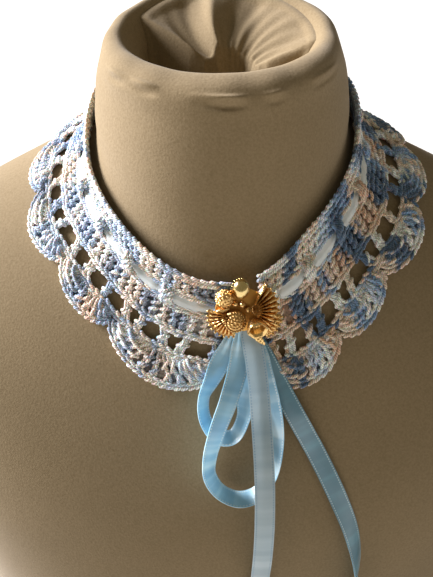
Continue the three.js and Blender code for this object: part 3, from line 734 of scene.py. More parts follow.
# %% Dye chart
DYES = {"D": "607894", "B": "8EACCF", "S": "D0DEEE", "C": "FFFBF2", "T": "F6DEC8", "R": "ECC6A8"}
DYE_COLOURS = {letter: colour(shade)[:3] for letter, shade in DYES.items()}
DYE_RUN = 3.0  # degrees for each letter
# painted light: towards the left end every dye is blended with this pale white, where the window falls
LIT_SIDE_WHITE, PAINTED_LIGHT_SHARE = np.array(colour("F4F0EC")[:3]), 0.24
OPENING_RIGHT, OPENING_LEFT = 13.5, 357.5
# the depth where each row starts, its letters from the left end backwards, and those from the right end on
ROWS = [
    # foundation chain
    (-3.0, "RCTTRTBDSTRCBDBSCBSCCSTTBS", "CCTCDBTCTSCSBDBTCSBDTCSB"),
    # neck band
    (2.2, "DDDDTTBSTTCBBBSBSCCSCCSTTS", "TCTCDDTTCSSBDDBDTTCSDDTC"),
    # open row
    (9.0, "BDTTTCCSBTRCCSSCBSCCSSBC", "TTCCDTCCTSBDDBTTTTRCDDBS"),
    # blocks
    (16.5, "BTTCDBTCDDTTCBDCTCBBSCBBCSTTCSBB", "DRTRDDTTBTRRDDDTRRTDDDBCTTRBDDTC"),
    # mesh
    (28.0, "BBTTCCCBBTTTBBCCTDCCSSCBBCTTCCSB", "RRCTTDDCCCTTDDCCCTTTDDCCTTBBCCTT"),
    # shells
    (37.0, "BBTSSTDTTBCDBRRBDCTBSSBCCDDBCSSTB", "RTDTSCRTTBCSBTTDDCCBTDDBCTSBTTCDDBS"),
    # edge
    (50.0, "BSTCSCTBCTCSCTCCBSCTCCSCCTSCCTS", "TCBTCTCRTTBCTTCCTCCSCTBCCTTCSCTC"),
]
dye_source = np.random.default_rng(21)


def row_dyes(left, right):
    count = int(360 / DYE_RUN)
    letters = [None] * count
    for i, letter in enumerate(right):
        letters[int((OPENING_RIGHT + DYE_RUN * i) / DYE_RUN) % count] = letter
    for i, letter in enumerate(left):
        letters[int((OPENING_LEFT - DYE_RUN * i) / DYE_RUN) % count] = letter
    for i in range(count):
        if letters[i] is None:
            letter = dye_source.choice(list("DBBSSCCTTR"))
            for k in range(i, min(i + int(dye_source.integers(2, 4)), count)):
                letters[k] = letters[k] or letter
    return [DYE_COLOURS[letter] for letter in letters]


ROW_TABLE = np.array([row_dyes(left, right) for _, left, right in ROWS])
ROW_STARTS = np.array([row[0] for row in ROWS])


def dye_at(degrees, depth):
    row = np.clip(np.searchsorted(ROW_STARTS, depth, side="right") - 1, 0, len(ROWS) - 1)
    place = np.mod(degrees, 360) / DYE_RUN - 0.5
    i = np.floor(place).astype(int)
    blend = smoothstep(place - i, 0.3, 0.7)[..., None]
    count = ROW_TABLE.shape[1]
    dye = ROW_TABLE[row, i % count] * (1 - blend) + ROW_TABLE[row, (i + 1) % count] * blend
    # painted light on the left side, where the window falls
    painted_light = PAINTED_LIGHT_SHARE * smoothstep(np.mod(degrees, 360), 225, 300)[..., None]
    return dye * (1 - painted_light) + LIT_SIDE_WHITE * painted_light


print("dye rows charted:", len(ROWS))

# %% [markdown]
# ## Laying strands
# All strands of one kind are laid together: a table of points, the direction straight out of the cloth at
# each point, and a radius. Each becomes a six-sided tube with closed, pointed ends. The tubes of a row are
# one piece.

# %% Strands into a skein
TIP_REACH = 0.8  # of the radius


def new_skein():
    return {"points": [], "faces": [], "uv": [], "dye": [], "count": 0}


def lay_strands(skein, lines, outs, radius, dyes):
    strands, steps = lines.shape[:2]
    sides = STRAND_SIDES
    tangent = unit(np.gradient(lines, axis=1))
    side = unit(np.cross(tangent, outs))
    lift = np.cross(side, tangent)
    turn = (2 * math.pi * np.arange(sides) / sides)[:, None]
    tubes = lines[:, :, None] + radius * (np.cos(turn) * lift[:, :, None] + np.sin(turn) * side[:, :, None])
    first = lines[:, :1] - tangent[:, :1] * radius * TIP_REACH
    last = lines[:, -1:] + tangent[:, -1:] * radius * TIP_REACH
    points = np.concatenate([tubes.reshape(strands, -1, 3), first, last], axis=1)
    dye = np.concatenate([np.repeat(dyes, sides, axis=1), dyes[:, :1], dyes[:, -1:]], axis=1)
    each = steps * sides + 2

    i = np.arange(steps - 1)[:, None] * sides
    j = np.arange(sides)
    k = (j + 1) % sides
    quads = np.stack([i + j, i + k, i + sides + k, i + sides + j], -1).reshape(-1, 4)
    start_cap = np.stack([np.full(sides, each - 2), k, j], -1)
    end_cap = np.stack([np.full(sides, each - 1), i[-1] + sides + j, i[-1] + sides + k], -1)
    quad_v = np.tile(np.stack([j, j + 1, j + 1, j], -1) / sides, (steps - 1, 1))
    cap_v = np.stack([j + 0.5, j + 1, j], -1) / sides
    for strand, u in enumerate(run_length(lines)):
        base = skein["count"] + strand * each
        for faces in (quads, start_cap, end_cap):
            skein["faces"].extend((faces + base).tolist())
        quad_u = np.repeat(np.stack([u[:-1], u[:-1], u[1:], u[1:]], -1), sides, axis=0)
        for map_u, map_v in ((quad_u, quad_v), (u[0], cap_v), (u[-1], cap_v[:, [0, 2, 1]])):
            skein["uv"].append(stacked(map_u, map_v).reshape(-1, 2))
    skein["points"].append(points.reshape(-1, 3))
    skein["dye"].append(dye.reshape(-1, 3))
    skein["count"] += strands * each


def finish_skein(skein, name, replaced):
    points, dye, uv = (np.concatenate(skein[key]) for key in ("points", "dye", "uv"))
    piece = mesh_piece(name, points, skein["faces"], dye, uv)
    smooth(piece)
    settle(piece, YARN, [replaced])
    return piece


# %% [markdown]
# ## Stitches
# Two shapes make all the rows. A post is the upright of a treble: two strands that twist half round each
# other with a third slung across the front. A chain is the plait along the top of each row: a leg from each
# side that dives under the next one. Both are placed on the collar's map by where they start and end.

# %% Posts and chains
YOKE_END = 38
CLOSE_UP, CLOSE_UP_FROM = 7, 0.92  # degrees, and the share of the way round where it starts
STRAY = 1.3  # degrees by which the dye of one strand runs ahead of its neighbour's
hand = np.random.default_rng(7)


def lean(degrees, depth):
    """The left end comes nearer to the right one towards the neck edge."""
    share = (degrees - OPENING_RIGHT) / (OPENING_LEFT - OPENING_RIGHT)
    near_end = np.maximum(0, (share - CLOSE_UP_FROM) / (1 - CLOSE_UP_FROM))
    return degrees + CLOSE_UP * (1 - np.minimum(depth, YOKE_END) / YOKE_END) * near_end


def strand_on_map(foot, head, t, sideways, height):
    """Points between a foot and a head (degrees, depth), moved sideways in mm; one row for each pair."""
    foot, head = foot[:, None], head[:, None]
    at = foot + (head - foot) * t[..., None]
    spread = look_up(MAP_SPREAD, at[..., 0], at[..., 1])
    run = unit((head - foot) * stacked(spread, 1.0))
    depth = at[..., 1] + run[..., 0] * sideways
    degrees = lean(at[..., 0] - run[..., 1] * sideways / spread, depth)
    points, outs = collar_at(degrees, depth, height)
    stray = hand.normal(0, STRAY, (len(foot), 1))
    return points, outs, dye_at(degrees + stray, depth + stray)


def posts(skein, foot, head, width=1.45, height=1.1, arch=0.0, radius=YARN_RADIUS, steps=7, wraps=(0.42,),
          foot_share=1.0):
    """Treble posts from each foot to each head. A foot share under 1 makes them narrower where they start."""
    count = len(foot)
    foot = np.asarray(foot) + hand.normal(0, 0.12, (count, 2))
    head = np.asarray(head) + hand.normal(0, 0.12, (count, 2))
    t = np.broadcast_to(np.linspace(0, 1, steps), (count, steps))
    twist = math.pi * 1.15 * t + hand.normal(0.2, 0.2, (count, 1))
    rise = arch * np.sin(math.pi * t) + height + hand.normal(0, 0.08, (count, 1))
    half = width / 2
    opened = foot_share + (1 - foot_share) * t
    for sign in (1, -1):
        sideways, lift = sign * half * np.cos(twist) * opened, sign * 0.42 * np.sin(twist)
        points, outs, dyes = strand_on_map(foot, head, t, sideways, rise + lift)
        lay_strands(skein, points, outs, radius, dyes * hand.uniform(0.85, 1.12, (count, 1, 1)))
    for middle in wraps:
        w = np.broadcast_to(np.linspace(-1, 1, 5), (count, 5))
        place = middle + 0.13 * w
        sling = (half + radius * 0.95) * w
        over = rise[:, :1] + arch * np.sin(math.pi * place) + radius * (1.35 - 1.25 * w**2)
        points, outs, dyes = strand_on_map(foot, head, place, sling, over)
        lay_strands(skein, points, outs, radius * 0.92, dyes * hand.uniform(0.96, 1.1, (count, 1, 1)))


def chain(skein, line, pitch=3.3, width=1.5, height=1.2, radius=YARN_RADIUS * 0.95):
    """A plait along a line of (degrees, depth) points, at an even pitch in mm."""
    spread = look_up(MAP_SPREAD, line[:, 0], line[:, 1])
    step = np.diff(line, axis=0)
    length = add_up(np.hypot(step[:, 0] * spread[:-1], step[:, 1]))
    count = max(2, int(round(length[-1] / pitch)))
    at = read_along(np.linspace(0, length[-1], count + 1), length, line)
    foot, head = at[:-1] + hand.normal(0, 0.08, (count, 2)), at[1:]
    share = np.broadcast_to(np.linspace(0, 1, 6), (count, 6))
    rise = height + 0.75 * np.sin(math.pi * np.clip(share * 0.95 + 0.1, 0, 1)) - 0.5 * share
    for sign in (1, -1):
        away = sign * (width * 0.75 * (1 - share) ** 0.8 + 0.12)
        points, outs, dyes = strand_on_map(foot, head, 1.4 * share - 0.25, away, rise)
        lay_strands(skein, points, outs, radius, dyes * hand.uniform(0.92, 1.1, (count, 1, 1)))


def row_line(depth):
    """The line of a chain: rows below the neck edge wander a little between their posts."""
    degrees = np.linspace(OPENING_RIGHT + 0.6, OPENING_LEFT - 0.6, 400)
    wander = 0.4 * np.sin(0.62 * degrees + depth) + 0.3 * np.sin(1.41 * degrees + 2.1 * depth)
    return stacked(degrees, depth + wander * (depth > 5))


def along_row(degrees, depth):
    """How far along a row each place lies, in mm."""
    return add_up(np.diff(degrees) * look_up(MAP_SPREAD, degrees, np.full_like(degrees, depth))[:-1])


def even_posts(depth, pitch):
    """Degrees of posts at an even pitch in mm along a row."""
    degrees = np.linspace(OPENING_RIGHT + 1.4, OPENING_LEFT - 1.4, 800)
    length = along_row(degrees, depth)
    count = int(round(length[-1] / pitch))
    return np.interp(np.linspace(0, length[-1], count + 1), length, degrees)


print("yarn in mm across a strand:", 2 * YARN_RADIUS)

# %% [markdown]
# ## The rows of the collar
# The collar is worked from the neck outwards. A chain and a row of trebles make the neck band. The next row
# is open, with one upright for every stretch of ribbon. Below it come blocks of trebles, then an open mesh
# whose bars slant, and at the edge a fan of nine trebles, or eleven in a wide scallop, with a plait round
# it.

# %% Places of scallops, bars and holes
BACK_FROM, BACK_TO, BACK_SCALLOPS = 76, 281, 9
back_valleys = np.linspace(BACK_FROM, BACK_TO, BACK_SCALLOPS + 1)
VALLEYS = np.array([13.5, 34, 53, *back_valleys, 304, 325, 357.5])
SCALLOP_VALLEY = 39.8
SCALLOP_TIPS = np.array([51.0] * 14 + [54.5])  # the left front scallop is deeper
BLOCK_END, MESH_END = 27.4, 37.2
# depths of the plaits between the rows, and of the feet and heads of the posts
BAND_TOP, EYELET_TOP, BLOCK_TOP, MESH_TOP, SHELL_TOP = 1.1, 9.1, 16.2, 27.3, 37.7
TREBLE_FOOT, TREBLE_HEAD, UPRIGHT_HEAD, BLOCK_HEAD, MESH_FOOT, SHELL_FOOT = 2.2, 8.0, 17.4, 26.7, 27.9, 38.5
BACK_FOOT, BACK_HEAD = 9.0, 16.6
# degrees of the uprights that the ribbon passes under, and of the bars of the mesh
BAR_ANGLES = np.array([18, 33, 49.2, 66, *np.linspace(82, 276, 13), 291, 307, 322.5, 338, 355.0])
MESH_BARS = np.array([14.7, 21, 26, 31.5, 37.5, 44.3, 51.7, 59.3, 67.5, *np.linspace(76, 288, 28),
                      295.5, 303, 311.5, 320, 327, 333.7, 340, 347.5, 356.3])


def scallop_depth(degrees):
    i = np.clip(np.searchsorted(VALLEYS, degrees, side="right") - 1, 0, len(VALLEYS) - 2)
    across = 2 * (degrees - VALLEYS[i]) / (VALLEYS[i + 1] - VALLEYS[i]) - 1
    return SCALLOP_VALLEY + (SCALLOP_TIPS[i] - SCALLOP_VALLEY) * np.sqrt(np.maximum(0, 1 - 0.98 * across**2))


def mesh_slant(degrees):
    """Degrees that a mesh bar wanders between its foot and its head."""
    return 1.5 * np.sin(0.5 * degrees + 1)


print("scallops:", len(VALLEYS) - 1, "bars:", len(BAR_ANGLES), "mesh bars:", len(MESH_BARS))

# %% Neck band
band = new_skein()
chain(band, row_line(BAND_TOP), height=1.5)
places = even_posts(5.5, 3.8)
posts(band, stacked(places, TREBLE_FOOT), stacked(places + 0.5, TREBLE_HEAD), height=1.3)
chain(band, row_line(EYELET_TOP), height=1.5, pitch=3.7)
band_piece = finish_skein(band, "collar_neckband_stitches", "collar_neckband")

# %% Open row with its uprights
eyelet = new_skein()
pairs = np.concatenate([BAR_ANGLES - 0.8, BAR_ANGLES + 0.8])
pairs = pairs[(pairs > OPENING_RIGHT + 0.8) & (pairs < OPENING_LEFT - 0.8)]
posts(eyelet, stacked(pairs, TREBLE_HEAD), stacked(pairs + 0.4, UPRIGHT_HEAD),
      height=1.5, arch=2.75, steps=9, wraps=(0.35, 0.62))
# thin posts behind the ribbon, wherever no upright crosses it
behind = even_posts(12.0, 5.2)
behind = behind[np.abs(behind[:, None] - BAR_ANGLES).min(axis=1) > 2.6]
posts(eyelet, stacked(behind, BACK_FOOT), stacked(behind, BACK_HEAD), height=0.35, wraps=(), radius=0.6,
      width=1.1)
eyelet_piece = finish_skein(eyelet, "collar_eyelet_stitches", "collar_eyelet_row")

# %% Blocks and mesh
BLOCK_PITCH, BLOCK_SHARE = 4.6, 0.84  # mm for each treble, and the share of its space that a block fills
yoke = new_skein()
chain(yoke, row_line(BLOCK_TOP), height=1.3, pitch=3.8)
block_feet, block_heads = [], []
edges = [OPENING_RIGHT + 0.8, *((BAR_ANGLES[1:] + BAR_ANGLES[:-1]) / 2), OPENING_LEFT - 0.8]
for left, right in zip(edges[:-1], edges[1:]):
    middle, half = (left + right) / 2, (right - left) / 2
    spread = float(look_up(MAP_SPREAD, np.array(middle), np.array(22.0)))
    spots = np.linspace(-1, 1, max(3, int(round(2 * half * spread / BLOCK_PITCH))))
    block_feet.append(stacked(middle + half * BLOCK_SHARE * spots * 0.96, UPRIGHT_HEAD))
    block_heads.append(stacked(middle + half * BLOCK_SHARE * spots, BLOCK_HEAD - 1.6 * np.abs(spots) ** 4))
posts(yoke, np.concatenate(block_feet), np.concatenate(block_heads), width=1.6, height=1.15, steps=8,
      wraps=(0.28, 0.62))
chain(yoke, row_line(MESH_TOP), height=1.2, pitch=3.6)
mesh_feet = np.concatenate([MESH_BARS - 0.4, MESH_BARS + 0.4])
posts(yoke, stacked(mesh_feet, MESH_FOOT), stacked(mesh_feet + mesh_slant(mesh_feet), MESH_END),
      height=1.1, wraps=(0.5,), width=1.7, radius=0.9)
chain(yoke, row_line(SHELL_TOP), height=1.2, pitch=3.6)
yoke_piece = finish_skein(yoke, "collar_yoke_stitches", "collar_yoke")

# %% Shells and their edge
FAN_POSTS, WIDE_FAN_POSTS, WIDE_HALF, FAN_REACH = 9, 11, 13, math.radians(84)
EDGE_INSET = 1.4  # from the edge to the middle of its plait
shells = new_skein()
for left, right, tip in zip(VALLEYS[:-1], VALLEYS[1:], SCALLOP_TIPS):
    middle, half = (left + right) / 2, (right - left) / 2
    spots = np.linspace(-1, 1, WIDE_FAN_POSTS if half > WIDE_HALF else FAN_POSTS)
    feet = stacked(middle + half * 0.3 * spots, SHELL_FOOT + 0.3 * np.abs(spots))
    heads = stacked(middle + half * 0.93 * np.sin(spots * FAN_REACH),
                    SCALLOP_VALLEY + (tip - 2.6 - SCALLOP_VALLEY) * np.cos(spots * FAN_REACH) ** 0.8)
    posts(shells, feet, heads, width=1.9, height=1.2, steps=9, arch=0.9, wraps=(0.4, 0.75), foot_share=0.55)
    rim = np.linspace(left + 0.35, right - 0.35, 60)
    chain(shells, stacked(rim, scallop_depth(rim) - EDGE_INSET), height=1.3, pitch=3.3, width=1.7)
shells_piece = finish_skein(shells, "collar_shell_stitches", "collar_scallops")

# %% [markdown]
# ## The cloth under the stitches
# Between neighbouring posts the yarn fills every gap, which separate strands would leave open. A thin
# ground runs under all of them, with the real holes of the mesh left out. The collar was worked flat, as a
# strip that curves because each row has more stitches.

# %% Ground finish
def ground_painted_shade_finish():
    # the same yarn, matted together, with its dye darkened: painted shade of the stitches above it
    material, shader, add = new_finish(
        "matted_cotton_ground_painted_shade", Roughness=0.9, Sheen_Weight=0.1, Specular_IOR_Level=0.1)
    dye = add("Attribute", {"attribute_name": "dye"})
    fibres = add("TexNoise", {"Scale": 700.0, "Detail": 3.0}, {0: add("TexCoord").outputs["Object"]})
    shade = add("ValToRGB", {"stops": [(0.35, "84848A"), (0.7, "C8C8C8")]}, {0: fibres})
    base = add("Mix", {"data_type": "RGBA", "blend_type": "MULTIPLY", 0: 1.0}, {6: dye, 7: shade})
    bump = add("Bump", {"Strength": 0.6, "Distance": 0.0004}, {"Height": fibres})
    connect(material, shader, {"Base Color": base.outputs[2], "Normal": bump})
    return material


GROUND_PAINTED_SHADE = ground_painted_shade_finish()
print("ground finish:", GROUND_PAINTED_SHADE.name)

# %% Ground of the collar
GROUND_LIFT, GROUND_WALL, GROUND_INSET, BAR_HALF = 0.25, 0.5, 1.6, 0.8
degrees, depths = np.meshgrid(np.arange(OPENING_RIGHT + 0.5, OPENING_LEFT - 0.5, 0.6),
                              np.arange(0.8, SCALLOP_TIPS.max(), 1.1))


def is_cloth(degrees, depths):
    """Where the ground is: inside the scalloped edge and outside the holes between the mesh bars."""
    foot = degrees - mesh_slant(degrees) * smoothstep(depths, BLOCK_END, MESH_END)
    after = np.clip(np.searchsorted(MESH_BARS, foot), 1, len(MESH_BARS) - 1)
    left, right = MESH_BARS[after - 1], MESH_BARS[after]
    middle, half = (left + right) / 2, (right - left) / 2
    in_hole = (np.abs(foot - middle) < half - BAR_HALF) & (depths > BLOCK_END + 1) & (depths < MESH_END - 0.6)
    return (depths < scallop_depth(degrees) - GROUND_INSET) & ~in_hole


keep = is_cloth(degrees, depths)
ground_points, _ = collar_at(lean(degrees, depths), depths, GROUND_LIFT)
index = np.arange(keep.size).reshape(keep.shape)
solid = keep[:-1, :-1] & keep[1:, :-1] & keep[1:, 1:] & keep[:-1, 1:]
quads = np.stack([index[:-1, :-1], index[1:, :-1], index[1:, 1:], index[:-1, 1:]], -1)[solid]
ground = mesh_piece("collar_ground", ground_points.reshape(-1, 3), quads.tolist(),
                    dye_at(degrees, depths).reshape(-1, 3))
edit_all(ground, bpy.ops.mesh.delete_loose, use_verts=True, use_edges=True, use_faces=False)
outward(ground)
apply_modifier(ground, "SOLIDIFY", thickness=GROUND_WALL * MM, offset=1)
smooth(ground)
settle(ground, GROUND_PAINTED_SHADE)

cloth_area = sum(face.area for face in ground.data.polygons) / 2
print("area of the collar in square metres:", round(cloth_area, 4))

# %% [markdown]
# ## The threaded ribbon
# The ribbon runs through the open row: over the cloth between two uprights, then down behind the next one.
# It is folded lengthways to fit, so it shows a narrow face with one crease.

# %% Ribbon through the open row
THREADED_WIDTH, THREADED_MIDDLE = 4.8, 12.7
THREAD_FROM, THREAD_TO = 10.1, 362.9  # a little past the ends of the collar, to reach the knot
thread_degrees = np.arange(THREAD_FROM, THREAD_TO, 0.4)
from_bar = np.abs(thread_degrees[:, None] - BAR_ANGLES).min(axis=1)[:, None]
across = np.linspace(-0.5, 0.5, 9)[None, :]
thread_depth = THREADED_MIDDLE + across * THREADED_WIDTH * (1 - 0.22 * (1 - smoothstep(from_bar, 0.8, 4.0)))
thread_height = 1.75 + 0.75 * smoothstep(from_bar, 1.2, 5.0)
crease = 0.35 * np.cos(2 * math.pi * across) * (1.3 - 0.8 * smoothstep(from_bar, 1, 5))
thread_points, _ = collar_at(thread_degrees[:, None], thread_depth, thread_height + crease)
thread_uv = stacked(across * THREADED_WIDTH, along_row(thread_degrees, THREADED_MIDDLE)[:, None])
satin_strip("ribbon_threaded", thread_points, thread_uv, SATIN_THREADED_PAINTED_REFLECTION)

# %% [markdown]
# ## Places on the brooch
# The brooch is a cluster of small castings on a back plate. Each is modelled flat on its own bench, with X
# across, Y up the chest and Z out of it, and is then carried to its place above the knot.

# %% Bench of the brooch
BROOCH_ANGLE, BROOCH_DEPTH, FIGURE_LIFT = 6.5, 12, 9.6


def carry(piece, across, up, turn=0.0, lift=FIGURE_LIFT, depth=BROOCH_DEPTH):
    """Moves a piece from the bench to its place, measured from the middle of the brooch in mm."""
    place = np.array(BROOCH_ANGLE), np.array(float(depth))
    out = unit(look_up(MAP_NORMALS, *place))
    side = unit(np.cross([0, 0, 1], out))
    rise = np.cross(out, side)
    origin = look_up(MAP_POINTS, *place) + side * across + rise * up + out * lift
    basis = Matrix((side, rise, out)).transposed().to_4x4()
    piece.data.transform(piece.matrix_basis)
    piece.matrix_basis = Matrix()
    piece.data.transform(
        Matrix.Translation(Vector(origin) * MM) @ basis @ Matrix.Rotation(math.radians(turn), 4, "Z"))
    piece.data.update()


def bench_grid(first, last, rows, columns):
    """A column of places along a shape and a row of angles round it."""
    return np.linspace(first, last, rows)[:, None], np.linspace(0, 2 * math.pi, columns)[None, :]


print("brooch at", BROOCH_ANGLE, "degrees and", BROOCH_DEPTH, "mm down")

# %% Knot
KNOT_HALF, KNOT_HIGH, KNOT_DEEP, KNOT_ROUND, KNOT_LIFT = 4.0, 3.4, 2.05, 18, 3.0


def knot_grid():
    """A band of ribbon pulled tight round the others: fuller in the middle, with pleats that run across."""
    along, around = bench_grid(-1, 1, 25, 65)
    full = (1 - 0.32 * along**2) * (1 + 0.05 * np.cos(9 * around + 2 * along) + 0.03 * np.cos(15 * around))
    points = stacked(KNOT_HALF * along, KNOT_HIGH * full * np.sin(around), KNOT_DEEP * full * np.cos(around))
    return points, stacked(KNOT_HALF * along, KNOT_ROUND * around / (2 * math.pi))


knot = grid_piece("ribbon_knot_satin", *knot_grid(), closed=True)
close_ends(knot)
apply_modifier(knot, "BEVEL", width=0.4 * MM, segments=2)
smooth(knot, 50)
carry(knot, 0, 0, lift=KNOT_LIFT, depth=THREADED_MIDDLE)
settle(knot, SATIN_BACK_PAINTED_SHADE, ["ribbon_knot"])

# %% [markdown]
# ## Gilt
# The castings are of brass, gilded and polished, so they mirror their surroundings in a warm yellow.
# The colour is darker where a place is shut in by its neighbours, which is painted shade in the hollows,
# and the skin has the slight waviness of a lost-wax casting. A metal's colour is its base colour, and its
# gloss is a low roughness.

# %% Gilt finish
# painted shade: how far from a hollow of the gilt the darkening reaches
PAINTED_SHADE_REACH = 2.5  # mm from a place to the neighbours that darken it


def gilt_finish(name, roughness, grain_scale, grain_strength, tones=("6A3A16", "BE8640", "F2CC8A")):
    material, shader, add = new_finish(name, Metallic=1.0)
    skin = add("TexNoise", {"Scale": grain_scale, "Detail": 3.0}, {0: add("TexCoord").outputs["Object"]})
    # painted shade: the colour runs from the light tones to the dark ones where a place is shut in by its
    # neighbours
    occlusion = add("AmbientOcclusion", {"samples": 8, "Distance": PAINTED_SHADE_REACH * MM})
    tone = add("ValToRGB", {"stops": list(zip((0.15, 0.55, 0.95), tones))}, {0: occlusion.outputs["AO"]})
    gloss = add("MapRange", {3: roughness - 0.05, 4: roughness + 0.12}, {0: skin})
    bump = add("Bump", {"Strength": grain_strength, "Distance": 0.0002}, {"Height": skin})
    connect(material, shader, {"Base Color": tone, "Roughness": gloss, "Normal": bump})
    return material


GILT = gilt_finish("gilded_brass", 0.24, 1100.0, 0.55)
GRANULATED = gilt_finish("granulated_gilded_brass", 0.28, 2600.0, 0.7)
POLISHED = gilt_finish("polished_gilded_brass", 0.17, 500.0, 0.2, ("54300E", "B98C45", "E6CC8E"))
# the back plate is a darker gilt: painted shade behind the castings
PLATE_PAINTED_SHADE = gilt_finish("brass_plate_painted_shade", 0.4, 1500.0, 0.9, ("6E4420", "B27A3C", "D8A458"))
print("gilt finishes:", [gilt.name for gilt in (GILT, GRANULATED, POLISHED, PLATE_PAINTED_SHADE)])

# %% [markdown]
# ## The castings
# Each casting starts from a round or a fan and is worked until it reads at arm's length: ribs and a beaded
# edge on the shells, grains on the berry and the disc, an open mouth on the bell and a folded blade on the
# leaf.

# %% Working a casting
BALL_SEGMENTS = 36


def mount(piece, node, material, across, up, turn=0.0, lift=FIGURE_LIFT, sharp=None):
    """Names and smooths a casting, carries it to its place and lets it stand for its CAD node."""
    piece.name = piece.data.name = node + "_gilt"
    smooth(piece, sharp)
    carry(piece, across, up, turn, lift)
    settle(piece, material, [node])


def ball(wide, high, deep, rings_count=24):
    """A ball that stands on the bench."""
    deselect()
    bpy.ops.mesh.primitive_uv_sphere_add(segments=BALL_SEGMENTS, ring_count=rings_count, radius=0.5)
    piece = bpy.context.object
    piece.scale = (wide * MM, high * MM, deep * MM)
    piece.location = (0, 0, deep / 2 * MM)
    bpy.ops.object.transform_apply(location=True, rotation=False, scale=True)
    return piece


def join(parts):
    make_active(parts[0])
    for part in parts:
        part.select_set(True)
    bpy.ops.object.join()
    return bpy.context.object


def circle(wide, high, height, count):
    """Spots round an oval with these half sizes, at a height off the bench."""
    turns = np.linspace(0, 2 * math.pi, count + 1)[:-1]
    return [(wide * math.cos(turn), high * math.sin(turn), height) for turn in turns]


def grains(spots, size):
    """Small balls soldered on: one low ball, copied to every spot (x, y, z in mm)."""
    deselect()
    bpy.ops.mesh.primitive_ico_sphere_add(subdivisions=1, radius=size / 2 * MM)
    seed = bpy.context.object
    copies = []
    for spot in spots:
        copy = seed.copy()
        copy.data = seed.data.copy()
        copy.data.transform(Matrix.Translation(Vector(spot) * MM))
        bpy.context.collection.objects.link(copy)
        copies.append(copy)
    bpy.data.objects.remove(seed)
    return copies


print("castings lie", FIGURE_LIFT, "mm above the inside of the collar")

# %% Back plate, pin and pearl
PLATE_HALF_WIDTH, PLATE_HALF_HEIGHT, PLATE_WALL, PLATE_LIFT = 11.6, 9.6, 1.4, 7.9
PIN_RADIUS, PIN_LENGTH, PIN_UP, PIN_LIFT = 0.6, 22, 5.5, 6.9

deselect()
bpy.ops.mesh.primitive_cylinder_add(vertices=64, radius=1, depth=PLATE_WALL * MM)
backing = bpy.context.object
backing.scale = (PLATE_HALF_WIDTH * MM, PLATE_HALF_HEIGHT * MM, 1)
bpy.ops.object.transform_apply(location=False, rotation=False, scale=True)
apply_modifier(backing, "BEVEL", width=0.4 * MM, segments=3)
mount(backing, "brooch_plate", PLATE_PAINTED_SHADE, 0, 0, lift=PLATE_LIFT + PLATE_WALL / 2, sharp=40)

deselect()
bpy.ops.mesh.primitive_cylinder_add(
    vertices=20, radius=PIN_RADIUS * MM, depth=PIN_LENGTH * MM, rotation=(0, math.pi / 2, 0))
pin = bpy.context.object
bpy.ops.object.transform_apply(location=False, rotation=True, scale=False)
apply_modifier(pin, "BEVEL", width=0.3 * MM, segments=2)
mount(pin, "brooch_pin", GILT, 0, PIN_UP, lift=PIN_LIFT, sharp=40)

pearl = join([ball(7.2, 8.6, 7.0), *grains(circle(3.3, 4.0, 1.1, 19), 1.0)])
mount(pearl, "brooch_pearl", POLISHED, -0.5, 10.2)

# %% Berry, beads and stem
BERRY_SEEDS, BERRY_LOWEST, BERRY_REACH, BERRY_MIDDLE, BERRY_RISE = 70, -0.35, 3.55, 3.4, 3.25
GOLDEN_ANGLE = math.pi * (3 - math.sqrt(5))


def berry_spots():
    """Seeds at an even spacing over a ball, down to a little below its middle."""
    for i in range(BERRY_SEEDS):
        height = 1 - 2 * (i + 0.5) / BERRY_SEEDS
        if height >= BERRY_LOWEST:
            turn, reach = i * GOLDEN_ANGLE, BERRY_REACH * math.sqrt(1 - height**2)
            yield reach * math.cos(turn), reach * math.sin(turn), BERRY_MIDDLE + BERRY_RISE * height


berry = join([ball(7.4, 7.4, 6.6), *grains(berry_spots(), 1.25)])
mount(berry, "brooch_berry", GRANULATED, -7.6, 6.4)

for i, (bead_across, bead_up) in enumerate([(0.2, 2.6), (-2.9, 3.2), (2.5, 0.4)], start=1):
    bead = join([ball(2.6, 2.6, 2.6, rings_count=16), *grains(circle(1.2, 1.2, 0.4, 8), 0.6)])
    mount(bead, f"brooch_bead_{i}", GILT, bead_across, bead_up)


def stem_points():
    """A bud that tapers both ways, with grooves along it."""
    along, around = bench_grid(-1, 1, 33, 41)
    full = np.sqrt(np.maximum(0, 1 - along**2)) * (1 + 0.15 * along)
    grooved = full * (1 - 0.14 * np.abs(np.cos(4 * around)) * full)
    return stacked(3.5 * along, 1.4 * grooved * np.sin(around), 1.3 + 1.3 * grooved * np.cos(around))


stem = grid_piece("brooch_stem_gilt", stem_points(), closed=True)
outward(stem)
mount(stem, "brooch_stem", GILT, -8.6, 0.6, turn=18)

# %% Shells
SHELL_WALL, EDGE_BEAD, HINGE_BEAD = 0.5, 1.15, 1.2


